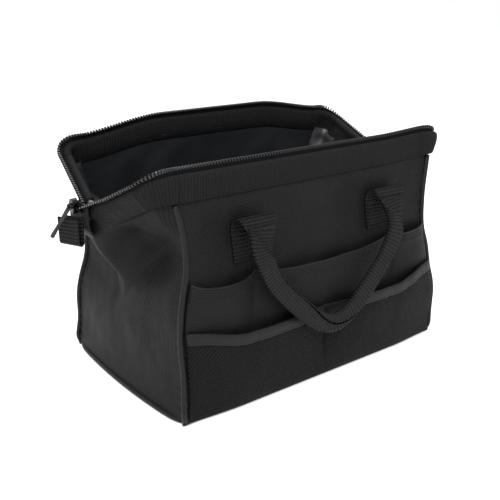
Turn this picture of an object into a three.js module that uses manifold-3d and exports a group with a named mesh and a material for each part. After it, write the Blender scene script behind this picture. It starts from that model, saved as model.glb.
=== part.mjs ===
// Zippered tool bag with a hinged wire frame in its mouth.
// Millimetres, +Z up, origin under the centre of the base. The front faces -Y and the length lies along X.
// The bag stands open: the mouth is a hexagon of two rails and four arms that meet at the two ends.
import * as THREE from 'three';
import { mergeVertices } from 'three/addons/utils/BufferGeometryUtils.js';
import Module from 'manifold-3d';

const wasm = await Module();
wasm.setup();

// The bag's body
const BODY_LENGTH = 320;        // over the piping of the two ends, at the foot
const BODY_DEPTH = 208;         // over the piping of the front and back, at the foot
const RAIL_INSET = 22;          // each rail of the open mouth leans in this far over the foot
const RAIL_SPAN = BODY_DEPTH - 2 * RAIL_INSET;
const RAIL_HEIGHT = 211;        // axis of the front rail above the floor
const BACK_RISE = 8;            // the back rail stands this much higher
const PANEL_BULGE = 3;          // how far the walls belly out
const WAIST_DEPTH = 13;         // how far the seams draw in below the band
const WAIST_HEIGHT = 155;       // height of the narrowest place
const WAIST_REACH = 75;         // the drawing in fades out this far above and below
const SLUMP = 8;                // the right end has settled: its seams stand fuller near the foot
const SLUMP_TOP = 95;           // the settling fades out at this height
const END_BOW = 6;              // how far the foot of each end bows out between the corners
const END_BOW_FROM = 45;        // the bow fades out between these heights
const END_BOW_TO = 150;
const HOLLOW_DEPTH = 9;         // the ends sink in below the hems, on either side of the hinge
const FOLD_HEIGHT = 4;          // the fold line at the foot of each wall
const FOOT_RADIUS = 14;         // plan corner of the base

// Cloth, board and piping
const CLOTH = 1.6;              // polyester with its backing and lining
const POCKET_CLOTH = 1.3;
const MESH_CLOTH = 1.2;
const BOARD = 2.4;
const BOARD_INSET = 7;          // from the inside of the walls
const PIPING_RADIUS = 2.6;
const GAP = 0.3;                // between pieces that touch or are sewn together

// The ribbed band, its sleeve and the zip
const BAND_DROP = 20;           // from the rail's axis to the band's lower edge
const BAND_HALF_LENGTH = 146;
const BAND_EDGE = 3.2;          // thickness of the band at its lower edge
const SLEEVE_WALL = 1;
const CORNER_SLACK = 0.7;       // extra room of the cloth that turns the corner
const TAPE_STAND = 3.8;         // height of the zip tape above the sleeve
const TAPE_THICKNESS = 1.2;
const TOOTH_PITCH = 3.8;
const TOOTH_WIDTH = 1.9;
const TOOTH_HEIGHT = 2.5;
const CHAIN_ROOT = 1.4;         // strip that the teeth stand on
const CHAIN_THICKNESS = 3;

// The wire frame
const WIRE_RADIUS = 3;
const CORNER_X = 170;           // where rail and arm would meet
const CORNER_BEND = 18;
const WIRE_STEPS = 60;
const HINGE_HEIGHT = 176;       // end hinge of the two frames
const EYE_X_FRONT = 192;
const EYE_X_BACK = 181;
const EYE_RADIUS = 8;
const EYE_THICKNESS = 3;
const RIVET_RADIUS = 2;
const RIVET_HEAD_RADIUS = 4.5;
const RIVET_HEAD = 1.3;
const RIVET_DOME = 0.7;         // share of the head's radius that is domed up

// Hems round the arms
const HEM_FROM_EYE = 24;
const HEM_DROP = 25.5;
const HEM_INSET = 15;           // how far the hem's lower edge lies inside the arm
const HEM_EDGE = 2.4;
const ARM_ZIP_TILT = 72;        // degrees that the zip leans outwards on the arms

// Pockets
const POCKET_TOP = 126;
const POCKET_SAG = 6;
const POCKET_FOOT = 62;
const POCKET_FULLNESS = 8;
const POCKET_SEAMS = [-1, -0.54, 0.64, 1];     // as shares of the half width
const MESH_TOP = 64;
const MESH_END_RISE = 12;       // the mesh's top edge rises towards its two ends
const MESH_RISE_FROM = 0.6;     // from this share of the half width
const MESH_FOOT = 6;
const MESH_LIFT_TOP = 54;       // below this the mesh comes forward to lie over the cloth pocket's foot
const MESH_FULLNESS = 8.5;
const MESH_SEAMS = [-1, 0, 1];
const BINDING_HEIGHT = 12.5;
const BINDING_THICKNESS = 2.2;

// Handles
const HANDLE_SPACING = 168;     // between the middles of the two ends
const STRAP_WIDTH = 38;
const GRIP_WIDTH = 19;
const STRAP_THICKNESS = 3;
const PATCH_THICKNESS = 2.2;
const PATCH_FOOT = 135;
const LOOP_ROOT = 166;          // here the strap leaves the wall and loops outwards
const LOOP_RISE = 10;
const LOOP_REACH = 22;
const SEWN_SHARE = 0.4;         // share of the patch's rows that lie on the wall
const HANDLE_HINGE_HEIGHT = 168;
const HANDLE_DROP = 109;        // from the hinge to the middle of the grip
const HANDLE_LEAN = 5;          // degrees that the hanging handle leans outwards over the pockets
// Middle line of half the hanging handle, as shares of half the spacing and of the drop
const HANDLE_LINE = [[1, 0], [1.02, 0.18], [0.965, 0.35], [0.833, 0.52], [0.62, 0.695], [0.405, 0.85], [0.2, 0.957]];

// Zip ends
const COVER_WIDTH = 36;
const COVER_RISE = 12;          // above the hinge
const COVER_DROP = 24;          // below the hinge, at the middle
const COVER_ROUND = 7;          // its lower corners are this much higher
const COVER_BEND = 6;           // it curves inwards from this far below the hinge
const COVER_TUCK = 18;          // and its foot lies this far in
const TAB_WIDTH = 22;
const TAB_TURN = 25;            // degrees that the hanging tab is twisted towards the front
const TAB_DROP = 24;
const TAB_CLOTH = 1.5;
const TAB_FOLD = 1.6;           // space inside the folded tab
const SLIDER_WIDTH = 9;
const SLIDER_LENGTH = 13;
const SLIDER_BODY = 5;
const SLIDER_FOOT_SHARE = 0.6;  // width of the slider's foot, and the height where it is widest
const SLIDER_WIDEST = 0.35;
const BRIDGE_INNER = 1.4;
const BRIDGE_OUTER = 2.5;
const BRIDGE_WIDTH = 1.6;
const BRIDGE_ROOT = 0.4;        // the bridge is sunk this far into the slider
const PULL_LENGTH = 31;
const PULL_WIDTH = 5.2;
const PULL_THICKNESS = 1.5;
const PULL_LEAN = 37;           // degrees that the pull lies outwards on the tab
const PULL_HEAD = 6;            // length of its full-width head
const PULL_NECK = 0.6;          // share of the width where it narrows half way along

const finish = (color, roughness, metalness = 0) =>
  new THREE.MeshStandardMaterial({ color, roughness, metalness });
const POLYESTER = finish(0x2b2b2c, 0.75);
const RIBBED = finish(0x232323, 0.9);
const NETTING = finish(0x242425, 0.85);
const BINDING = finish(0x2e2e2e, 0.7);
const WEBBING = finish(0x262626, 0.85);
const CORD = finish(0x232324, 0.8);
const BOARD_PLASTIC = finish(0x1d1d1e, 0.5);
const TEETH = finish(0x141415, 0.35);
const STEEL = finish(0x8d8f92, 0.4, 1);
const NICKEL = finish(0xb9bcc0, 0.25, 1);

const lerp = THREE.MathUtils.lerp;
const smoothstep = THREE.MathUtils.smoothstep;
const radians = THREE.MathUtils.degToRad;
const FRONT = -1;
const BACK = 1;
const LEFT = -1;
const RIGHT = 1;
const SIDE_NAME = { [FRONT]: 'front', [BACK]: 'back' };
const END_NAME = { [LEFT]: 'left', [RIGHT]: 'right' };
const bag = new THREE.Group();

// Signed volume of a closed triangle mesh; negative when its faces point inwards.
function signedVolume(geometry) {
  const p = geometry.attributes.position;
  const index = geometry.index;
  const [a, b, c] = [new THREE.Vector3(), new THREE.Vector3(), new THREE.Vector3()];
  let volume = 0;
  for (let i = 0; i < index.count; i += 3) {
    a.fromBufferAttribute(p, index.getX(i));
    b.fromBufferAttribute(p, index.getX(i + 1));
    c.fromBufferAttribute(p, index.getX(i + 2));
    volume += a.dot(b.cross(c)) / 6;
  }
  return volume;
}

// Merged, position-only copy of a geometry with its faces pointing out.
function closed(geometry) {
  const plain = new THREE.BufferGeometry();
  plain.setAttribute('position', geometry.attributes.position.clone());
  if (geometry.index) plain.setIndex(geometry.index.clone());
  const merged = mergeVertices(plain, 1e-4);
  if (signedVolume(merged) < 0) {
    const ids = merged.index.array;
    for (let i = 0; i < ids.length; i += 3) [ids[i], ids[i + 1]] = [ids[i + 1], ids[i]];
  }
  return merged;
}

function add(name, geometry, material) {
  const mesh = new THREE.Mesh(closed(geometry), material);
  mesh.name = name;
  bag.add(mesh);
  return mesh;
}

const toManifold = (geometry) => {
  const solid = closed(geometry);
  return new wasm.Manifold(new wasm.Mesh({
    numProp: 3,
    vertProperties: new Float32Array(solid.attributes.position.array),
    triVerts: new Uint32Array(solid.index.array),
  }));
};

function fromManifold(solid) {
  const mesh = solid.getMesh();
  const geometry = new THREE.BufferGeometry();
  geometry.setAttribute('position', new THREE.BufferAttribute(mesh.vertProperties, mesh.numProp));
  geometry.setIndex(new THREE.BufferAttribute(mesh.triVerts, 1));
  return geometry;
}

const joined = (...parts) => fromManifold(parts.map(toManifold).reduce((a, b) => a.add(b)));

// Geometry moved from its own axes to the bag's, by the images of its three axes and its origin.
function placed(geometry, xAxis, yAxis, zAxis, origin = new THREE.Vector3()) {
  const frame = new THREE.Matrix4().makeBasis(xAxis, yAxis, zAxis).setPosition(origin);
  return geometry.clone().applyMatrix4(frame);
}

// A sheet of cloth: a surface (u, v in 0..1) and a second one at the given thickness along its normal.
function sheet(surface, thickness, columns, rows) {
  const step = 1e-3;
  const points = [[], []];
  for (let j = 0; j <= rows; j += 1) {
    for (let i = 0; i <= columns; i += 1) {
      const [u, v] = [i / columns, j / rows];
      const here = surface(u, v);
      const along = surface(u + step, v).sub(surface(u - step, v));
      const up = surface(u, v + step).sub(surface(u, v - step));
      const normal = along.cross(up).normalize();
      points[0].push(here);
      points[1].push(here.clone().addScaledVector(normal, thickness));
    }
  }
  const count = points[0].length;
  const at = (layer, i, j) => layer * count + j * (columns + 1) + i;
  const faces = [];
  const quad = (a, b, c, d) => faces.push(a, b, c, a, c, d);
  for (let j = 0; j < rows; j += 1) {
    for (let i = 0; i < columns; i += 1) {
      quad(at(0, i, j), at(0, i, j + 1), at(0, i + 1, j + 1), at(0, i + 1, j));
      quad(at(1, i, j), at(1, i + 1, j), at(1, i + 1, j + 1), at(1, i, j + 1));
    }
  }
  for (let i = 0; i < columns; i += 1) {
    quad(at(0, i, 0), at(0, i + 1, 0), at(1, i + 1, 0), at(1, i, 0));
    quad(at(0, i + 1, rows), at(0, i, rows), at(1, i, rows), at(1, i + 1, rows));
  }
  for (let j = 0; j < rows; j += 1) {
    quad(at(0, 0, j + 1), at(0, 0, j), at(1, 0, j), at(1, 0, j + 1));
    quad(at(0, columns, j), at(0, columns, j + 1), at(1, columns, j + 1), at(1, columns, j));
  }
  const geometry = new THREE.BufferGeometry();
  const flat = points.flat().flatMap((p) => [p.x, p.y, p.z]);
  geometry.setAttribute('position', new THREE.Float32BufferAttribute(flat, 3));
  geometry.setIndex(faces);
  return geometry;
}

// A round bar along a path; an arc is drawn with two sides for each curve segment.
function tube(path, radius, steps, sides = 8) {
  const ring = new THREE.Shape();
  ring.absarc(0, 0, radius, 0, 2 * Math.PI);
  return new THREE.ExtrudeGeometry(ring, { extrudePath: path, steps, curveSegments: sides / 2, bevelEnabled: false });
}

const extruded = (shape, depth, curveSegments = 8) =>
  new THREE.ExtrudeGeometry(shape, { depth, bevelEnabled: false, curveSegments });

// Shared curves of the body
const pipingX = (z) => {
  const reach = THREE.MathUtils.clamp((z - WAIST_HEIGHT) / WAIST_REACH, -1, 1);
  return BODY_LENGTH / 2 - PIPING_RADIUS - WAIST_DEPTH * Math.cos(reach * Math.PI / 2) ** 2;
};
const slump = (z) => SLUMP * Math.sin(Math.PI * THREE.MathUtils.clamp(z / SLUMP_TOP, 0, 1)) ** 2;
const seamX = (end, z) => end * (pipingX(z) + (end === RIGHT ? slump(z) : 0));
const railHeight = (side) => RAIL_HEIGHT + (side === BACK ? BACK_RISE : 0);
const bandFoot = (side) => railHeight(side) - BAND_DROP;
const FOOT_Y = BODY_DEPTH / 2 - PIPING_RADIUS;

// Distance of the wall's middle surface from the bag's middle plane.
function wallY(side, z) {
  const rise = (z - FOLD_HEIGHT) / (railHeight(side) - FOLD_HEIGHT);
  const belly = Math.sin(Math.PI * THREE.MathUtils.clamp((z - FOLD_HEIGHT) / (bandFoot(side) - FOLD_HEIGHT), 0, 1));
  return lerp(FOOT_Y, RAIL_SPAN / 2, rise) + PANEL_BULGE * belly;
}
const wallFace = (side, z) => wallY(side, z) + CLOTH / 2;

// Base
function addBase() {
  const halfX = pipingX(0) - PIPING_RADIUS - GAP;
  const halfY = FOOT_Y - CLOTH / 2 - GAP;
  const outline = new THREE.Shape();
  const corner = FOOT_RADIUS;
  const bowed = halfX + 2 * END_BOW;            // control point of a curve that bows by half of it
  outline.moveTo(-halfX + corner, -halfY);
  outline.lineTo(halfX - corner, -halfY);
  outline.absarc(halfX - corner, -halfY + corner, corner, -Math.PI / 2, 0);
  outline.quadraticCurveTo(bowed, 0, halfX, halfY - corner);
  outline.absarc(halfX - corner, halfY - corner, corner, 0, Math.PI / 2);
  outline.lineTo(-halfX + corner, halfY);
  outline.absarc(-halfX + corner, halfY - corner, corner, Math.PI / 2, Math.PI);
  outline.quadraticCurveTo(-bowed, 0, -halfX, -halfY + corner);
  outline.absarc(-halfX + corner, -halfY + corner, corner, Math.PI, 1.5 * Math.PI);
  add('bottom_panel', extruded(outline, CLOTH, 6), POLYESTER);
  const board = new THREE.BoxGeometry(2 * (halfX - BOARD_INSET), 2 * (halfY - BOARD_INSET), BOARD);
  board.translate(0, 0, CLOTH + GAP + BOARD / 2);
  add('base_board', board, BOARD_PLASTIC);
  for (const end of [LEFT, RIGHT]) {
    const y = FOOT_Y - 3 * PIPING_RADIUS;
    const x = end * pipingX(0);
    const z = PIPING_RADIUS + GAP;
    const bend = new THREE.Vector3(x + end * 2 * END_BOW, 0, z);
    const path = new THREE.QuadraticBezierCurve3(new THREE.Vector3(x, -y, z), bend, new THREE.Vector3(x, y, z));
    add(`${END_NAME[end]}_bottom_piping`, tube(path, PIPING_RADIUS, 10), CORD);
  }
}

// The arm of a frame, from the end hinge's eye to the corner, with the two directions square to it.
function arm(side, end) {
  const eye = new THREE.Vector3(end * (side === FRONT ? EYE_X_FRONT : EYE_X_BACK), 0, HINGE_HEIGHT);
  const corner = new THREE.Vector3(end * CORNER_X, side * RAIL_SPAN / 2, railHeight(side));
  const along = corner.clone().sub(eye);
  const length = along.length();
  along.normalize();
  const level = new THREE.Vector3(end, 0, 0);
  const out = level.addScaledVector(along, -level.dot(along)).normalize();
  const up = along.clone().cross(out);
  if (up.z < 0) up.negate();
  return { eye, corner, along, length, out, up };
}

// A point on the lower edge of an arm's hem, at a distance from the eye.
function hemEdge(side, end, distance) {
  const { eye, along, out, up } = arm(side, end);
  return eye.clone().addScaledVector(along, distance).addScaledVector(out, -HEM_INSET).addScaledVector(up, -HEM_DROP);
}

// Height and reach of the end panel's upper edge, which follows the hems.
function endTop(y) {
  const side = y < 0 ? FRONT : BACK;
  const [near, far] = [hemEdge(side, RIGHT, HEM_FROM_EYE), hemEdge(side, RIGHT, 2 * HEM_FROM_EYE)];
  const share = (Math.abs(y) - Math.abs(near.y)) / (Math.abs(far.y) - Math.abs(near.y));
  const z = lerp(near.z, far.z, share) - CLOTH;
  const x = lerp(near.x, far.x, Math.max(share, 0));
  return { x, z };
}
const END_APEX = Math.min(endTop(-1e-6).z, endTop(1e-6).z);

// End panels: one soft sheet each, waisted like the piping and bowed out at the foot. They sink into two
// hollows below the hems and flare up to them.
const END_COLUMNS = 20;
const END_ROWS = 12;
const HOLLOW_FROM = 0.55;       // share of the height where the hollows begin
const FLARE_FROM = 0.78;
const FLARE_EDGE = 0.12;        // share of the half width over which the flare grows from the seam

function addEndPanels() {
  const foot = 2 * PIPING_RADIUS + 2 * GAP;
  const edge = (side, z) => wallY(side, z) - PIPING_RADIUS - GAP;
  const surface = (end) => (u, v) => {
    const across = THREE.MathUtils.clamp(2 * u - 1, -1, 1);
    const side = across < 0 ? FRONT : BACK;
    const top = Math.max(END_APEX, endTop(across * RAIL_SPAN / 2).z);
    const z = lerp(foot, top, v);
    const y = across * edge(side, z);
    const bow = END_BOW * (1 - smoothstep(z, END_BOW_FROM, END_BOW_TO)) * (1 - across * across);
    const flare = endTop(y).x - pipingX(top);
    const grown = smoothstep(v, FLARE_FROM, 1) * smoothstep(1 - Math.abs(across), 0, FLARE_EDGE);
    const sunk = Math.sin(Math.PI * smoothstep(v, HOLLOW_FROM, 1)) * Math.sin(Math.PI * Math.abs(across));
    const reach = Math.abs(seamX(end, z)) + bow + flare * grown - HOLLOW_DEPTH * sunk;
    return new THREE.Vector3(end * (reach - CLOTH / 2), y, z);
  };
  for (const end of [LEFT, RIGHT]) {
    add(`${END_NAME[end]}_end_panel`, sheet(surface(end), CLOTH * end, END_COLUMNS, END_ROWS), POLYESTER);
  }
}

// Walls
const WALL_COLUMNS = 8;
const WALL_ROWS = 14;
const PIPING_STEPS = 16;

function addWall(side) {
  const name = SIDE_NAME[side];
  const top = bandFoot(side) - GAP;
  const panel = (u, v) => {
    const z = lerp(FOLD_HEIGHT + GAP, top, v);
    const inset = PIPING_RADIUS + GAP;
    const x = lerp(seamX(LEFT, z) + inset, seamX(RIGHT, z) - inset, u);
    return new THREE.Vector3(x, side * (wallY(side, z) - CLOTH / 2), z);
  };
  add(`${name}_panel`, sheet(panel, -side * CLOTH, WALL_COLUMNS, WALL_ROWS), POLYESTER);
  for (const end of [LEFT, RIGHT]) {
    const points = [];
    for (let i = 0; i <= WALL_ROWS; i += 1) {
      const z = lerp(3 * PIPING_RADIUS, top - PIPING_RADIUS, i / WALL_ROWS);
      points.push(new THREE.Vector3(seamX(end, z), side * wallY(side, z), z));
    }
    const path = new THREE.CatmullRomCurve3(points);
    add(`${name}_${END_NAME[end]}_piping`, tube(path, PIPING_RADIUS, PIPING_STEPS), CORD);
  }
}

// How full a pocket stands at a share of the half width: 0 on a seam, 1 midway between two.
function fullness(share, seams) {
  const next = seams.findIndex((seam, i) => i > 0 && share <= seam);
  if (next < 0) return 0;
  const [from, to] = [seams[next - 1], seams[next]];
  return Math.sqrt(Math.max(0, Math.sin(Math.PI * (share - from) / (to - from))));
}

// Pockets span the wall between the pipings; a share of -1 is the left seam and 1 the right.
const pocketX = (share, z) => {
  const end = share < 0 ? LEFT : RIGHT;
  return Math.abs(share) * (seamX(end, z) - end * (2 * PIPING_RADIUS + GAP));
};
const rising = (z, foot, top) => Math.sin(THREE.MathUtils.clamp((z - foot) / (top - foot), 0, 1) * Math.PI / 2);
const pocketTop = (share) => POCKET_TOP - POCKET_SAG * fullness(share, POCKET_SEAMS);
const meshTop = (share) => MESH_TOP + MESH_END_RISE * smoothstep(Math.abs(share), MESH_RISE_FROM, 1);

// Distance from the wall's face to the inside of the cloth pocket, and to the inside of the mesh.
const pocketStand = (share, z) =>
  GAP + POCKET_FULLNESS * fullness(share, POCKET_SEAMS) * rising(z, POCKET_FOOT, pocketTop(share));
const meshStand = (share, z) => {
  const behind = (POCKET_CLOTH + 2 * GAP) * smoothstep(z, MESH_FOOT, MESH_LIFT_TOP);
  return GAP + behind + MESH_FULLNESS * fullness(share, MESH_SEAMS) * rising(z, MESH_FOOT, meshTop(share));
};

// A pocket layer on a wall: u runs across the wall, v from the lower edge to the upper.
function layer(side, foot, top, stand, thickness, columns, rows) {
  const surface = (u, v) => {
    const share = side * (1 - 2 * u);
    const z = lerp(foot(share), top(share), v);
    return new THREE.Vector3(pocketX(share, z), side * (wallFace(side, z) + stand(share, z)), z);
  };
  return sheet(surface, thickness, columns, rows);
}

function addPockets(side) {
  const name = SIDE_NAME[side];
  const cloth = layer(side, () => POCKET_FOOT, pocketTop, pocketStand, POCKET_CLOTH, 30, 4);
  add(`${name}_cloth_pocket`, cloth, POLYESTER);
  const mesh = layer(side, () => MESH_FOOT, meshTop, meshStand, MESH_CLOTH, 24, 5);
  add(`${name}_mesh_pocket`, mesh, NETTING);
  const clear = (share, z) => {
    const overCloth = pocketStand(share, z) + POCKET_CLOTH + GAP;
    return Math.max(overCloth, meshStand(share, meshTop(share)));
  };
  const bindingTop = (share) => meshTop(share) + BINDING_HEIGHT;
  const bindingFoot = (share) => meshTop(share) + GAP;
  add(`${name}_mesh_binding`, layer(side, bindingFoot, bindingTop, clear, BINDING_THICKNESS, 24, 1), BINDING);
}

// The ribbed band is folded round the rail as a sleeve; it is drawn in the YZ plane, outwards positive.
function bandSection(side) {
  const outer = WIRE_RADIUS + GAP + SLEEVE_WALL;
  const foot = wallY(side, bandFoot(side)) - RAIL_SPAN / 2;
  const section = new THREE.Shape();
  section.moveTo(outer, 0);
  section.absarc(0, 0, outer, 0, Math.PI);
  section.lineTo(foot - BAND_EDGE / 2, -BAND_DROP);
  section.lineTo(foot + BAND_EDGE / 2, -BAND_DROP);
  const bore = new THREE.Path();
  bore.absarc(0, 0, WIRE_RADIUS + GAP, 0, 2 * Math.PI);
  section.holes.push(bore);
  return section;
}

// Outline of a run of zip teeth: a strip with a tooth at every pitch, starting at the origin.
function chainOutline(length) {
  const count = Math.floor((length - TOOTH_WIDTH) / TOOTH_PITCH) + 1;
  const first = (length - (count - 1) * TOOTH_PITCH - TOOTH_WIDTH) / 2;
  const outline = new THREE.Shape();
  outline.moveTo(0, 0);
  outline.lineTo(0, CHAIN_ROOT);
  for (let i = 0; i < count; i += 1) {
    const x = first + i * TOOTH_PITCH;
    outline.lineTo(x, CHAIN_ROOT);
    outline.lineTo(x, CHAIN_ROOT + TOOTH_HEIGHT);
    outline.lineTo(x + TOOTH_WIDTH, CHAIN_ROOT + TOOTH_HEIGHT);
    outline.lineTo(x + TOOTH_WIDTH, CHAIN_ROOT);
  }
  outline.lineTo(length, CHAIN_ROOT);
  outline.lineTo(length, 0);
  return outline;
}

const SLEEVE_RADIUS = WIRE_RADIUS + GAP + SLEEVE_WALL;
const CHAIN_STAND = SLEEVE_RADIUS + GAP + TAPE_STAND + GAP;

function addRim(side) {
  const name = SIDE_NAME[side];
  const outwards = new THREE.Vector3(0, side, 0);
  const up = new THREE.Vector3(0, 0, 1);
  const along = new THREE.Vector3(1, 0, 0);
  const start = new THREE.Vector3(-BAND_HALF_LENGTH, side * RAIL_SPAN / 2, railHeight(side));
  const length = 2 * BAND_HALF_LENGTH;
  add(`${name}_band`, placed(extruded(bandSection(side), length, 10), outwards, up, along, start), RIBBED);
  const tape = new THREE.BoxGeometry(length, TAPE_THICKNESS, TAPE_STAND);
  tape.translate(0, start.y, start.z + SLEEVE_RADIUS + GAP + TAPE_STAND / 2);
  add(`${name}_zip_tape`, tape, WEBBING);
  const chain = extruded(chainOutline(length), CHAIN_THICKNESS);
  const from = start.clone().addScaledVector(up, CHAIN_STAND).addScaledVector(outwards, -CHAIN_THICKNESS / 2);
  add(`${name}_zip_teeth`, placed(chain, along, up, outwards, from), TEETH);
}

// The bent steel wire of one side: rail, two rounded corners and two arms, with a flat eye at each end.
function addFrame(side) {
  const name = SIDE_NAME[side];
  const path = new THREE.CurvePath();
  const arms = [arm(side, RIGHT), arm(side, LEFT)];
  const inset = EYE_RADIUS - WIRE_RADIUS;
  const ends = arms.map((a) => a.eye.clone().addScaledVector(a.along, inset));
  const bends = [cornerBend(side, RIGHT), cornerBend(side, LEFT)];
  path.add(new THREE.LineCurve3(ends[0], bends[0].v2));
  path.add(new THREE.QuadraticBezierCurve3(bends[0].v2, bends[0].v1, bends[0].v0));
  path.add(new THREE.LineCurve3(bends[0].v0, bends[1].v0));
  path.add(bends[1]);
  path.add(new THREE.LineCurve3(bends[1].v2, ends[1]));
  const pieces = [tube(path, WIRE_RADIUS, WIRE_STEPS)];
  for (const { eye } of arms) {
    const disc = new THREE.Shape();
    disc.absarc(0, 0, EYE_RADIUS, 0, 2 * Math.PI);
    const hole = new THREE.Path();
    hole.absarc(0, 0, RIVET_RADIUS + GAP, 0, 2 * Math.PI);
    disc.holes.push(hole);
    const plate = extruded(disc, EYE_THICKNESS, 16);
    const from = eye.clone().setX(eye.x - EYE_THICKNESS / 2);
    const [y, z, x] = [new THREE.Vector3(0, 1, 0), new THREE.Vector3(0, 0, 1), new THREE.Vector3(1, 0, 0)];
    pieces.push(placed(plate, y, z, x, from));
  }
  add(`${name}_frame_wire`, joined(...pieces), STEEL);
}

// Path of the wire round a corner, from the rail to the arm.
function cornerBend(side, end) {
  const { corner, along } = arm(side, end);
  const onRail = corner.clone().setX(corner.x - end * CORNER_BEND);
  return new THREE.QuadraticBezierCurve3(onRail, corner, corner.clone().addScaledVector(along, -CORNER_BEND));
}

// The cloth that joins band and hem round a corner, folded over the wire like an upturned gutter.
function addCorner(side, end) {
  const { up } = arm(side, end);
  const bend = cornerBend(side, end);
  const path = new THREE.CurvePath();
  path.add(new THREE.LineCurve3(bend.v0.clone().setX(end * (BAND_HALF_LENGTH + GAP)), bend.v0));
  path.add(bend);
  const inner = WIRE_RADIUS + GAP + CORNER_SLACK;
  const bandFootOut = wallY(side, bandFoot(side)) - RAIL_SPAN / 2;
  const zAxis = new THREE.Vector3(0, 0, 1);
  const [topFrom, topTo] = [1 / 3, 2 / 3];     // share of the fold that turns over the wire
  const fold = (u, v) => {
    const share = THREE.MathUtils.clamp(u, 0, 1);
    const at = path.getPointAt(share);
    const tangent = path.getTangentAt(share);
    const w = zAxis.clone().lerp(up, smoothstep(share, 0, 1));
    w.addScaledVector(tangent, -w.dot(tangent)).normalize();
    const o = w.clone().cross(tangent).multiplyScalar(side * end);
    const foot = lerp(bandFootOut, -HEM_INSET, smoothstep(share, 0, 1));
    const half = lerp(BAND_EDGE, HEM_EDGE, share) / 2;
    const drop = lerp(BAND_DROP, HEM_DROP, share) - GAP;
    const turn = THREE.MathUtils.clamp((v - topFrom) / (topTo - topFrom), 0, 1) * Math.PI;
    const fall = Math.max(0, 1 - v / topFrom, (v - topTo) / (1 - topTo));
    const edge = v < 0.5 ? half : -half;
    const a = lerp(inner * Math.cos(turn), foot + edge, fall);
    const b = lerp(inner * Math.sin(turn), -drop, fall);
    return at.addScaledVector(o, a).addScaledVector(w, b);
  };
  add(`${SIDE_NAME[side]}_${END_NAME[end]}_corner`, sheet(fold, -side * end * SLEEVE_WALL, 7, 12), RIBBED);
}

// The hem that wraps an arm, and the run of zip sewn along it.
function addHem(side, end) {
  const name = `${SIDE_NAME[side]}_${END_NAME[end]}`;
  const { eye, along, length, out, up } = arm(side, end);
  const hemLength = length - HEM_FROM_EYE - CORNER_BEND - GAP;
  const from = eye.clone().addScaledVector(along, HEM_FROM_EYE);
  const section = new THREE.Shape();
  section.moveTo(SLEEVE_RADIUS, 0);
  section.absarc(0, 0, SLEEVE_RADIUS, 0, Math.PI);
  section.lineTo(-HEM_INSET - HEM_EDGE / 2, -HEM_DROP);
  section.lineTo(-HEM_INSET + HEM_EDGE / 2, -HEM_DROP);
  const bore = new THREE.Path();
  bore.absarc(0, 0, WIRE_RADIUS + GAP, 0, 2 * Math.PI);
  section.holes.push(bore);
  add(`${name}_hem`, placed(extruded(section, hemLength, 10), out, up, along, from), RIBBED);
  const tilt = radians(ARM_ZIP_TILT);
  const stand = up.clone().multiplyScalar(Math.cos(tilt)).addScaledVector(out, Math.sin(tilt));
  const face = stand.clone().cross(along).normalize();
  const chain = extruded(chainOutline(hemLength), CHAIN_THICKNESS);
  const tape = new THREE.BoxGeometry(hemLength, TAPE_STAND + 0.2, TAPE_THICKNESS);
  tape.translate(hemLength / 2, -TAPE_STAND / 2, CHAIN_THICKNESS / 2);
  const root = from.clone().addScaledVector(stand, CHAIN_STAND - GAP).addScaledVector(face, -CHAIN_THICKNESS / 2);
  add(`${name}_zip`, placed(joined(chain, tape), along, stand, face, root), TEETH);
}

// The hanging strap is drawn flat with X along the bag and Y up, its hinge on the X axis. It is folded in
// half along its length below the hinge, so it narrows to the grip.
const STRAP_STEPS = 32;
const FOLD_FROM = 0.06;         // shares of the strap's length between which it is folded
const FOLD_TO = 0.19;

function handleOutline() {
  const half = HANDLE_SPACING / 2;
  const left = HANDLE_LINE.map(([x, y]) => new THREE.Vector3(-x * half, -y * HANDLE_DROP, 0));
  const right = HANDLE_LINE.map(([x, y]) => new THREE.Vector3(x * half, -y * HANDLE_DROP, 0)).reverse();
  const spine = new THREE.CatmullRomCurve3([...left, new THREE.Vector3(0, -HANDLE_DROP, 0), ...right]);
  const rims = [[], []];
  for (let i = 0; i <= STRAP_STEPS; i += 1) {
    const u = i / STRAP_STEPS;
    const p = spine.getPointAt(u);
    const t = spine.getTangentAt(u);
    if (i === 0) t.set(0, -1, 0);
    if (i === STRAP_STEPS) t.set(0, 1, 0);
    const width = lerp(STRAP_WIDTH, GRIP_WIDTH, smoothstep(Math.min(u, 1 - u), FOLD_FROM, FOLD_TO));
    rims[0].push(new THREE.Vector2(p.x - t.y * width / 2, p.y + t.x * width / 2));
    rims[1].push(new THREE.Vector2(p.x + t.y * width / 2, p.y - t.x * width / 2));
  }
  return new THREE.Shape([...rims[0], ...rims[1].reverse()]);
}

const loopFace = (side) => wallFace(side, LOOP_ROOT) + GAP + LOOP_REACH;
const handleHingeY = (side) => loopFace(side) + 2 * GAP + STRAP_THICKNESS / 2;

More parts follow.
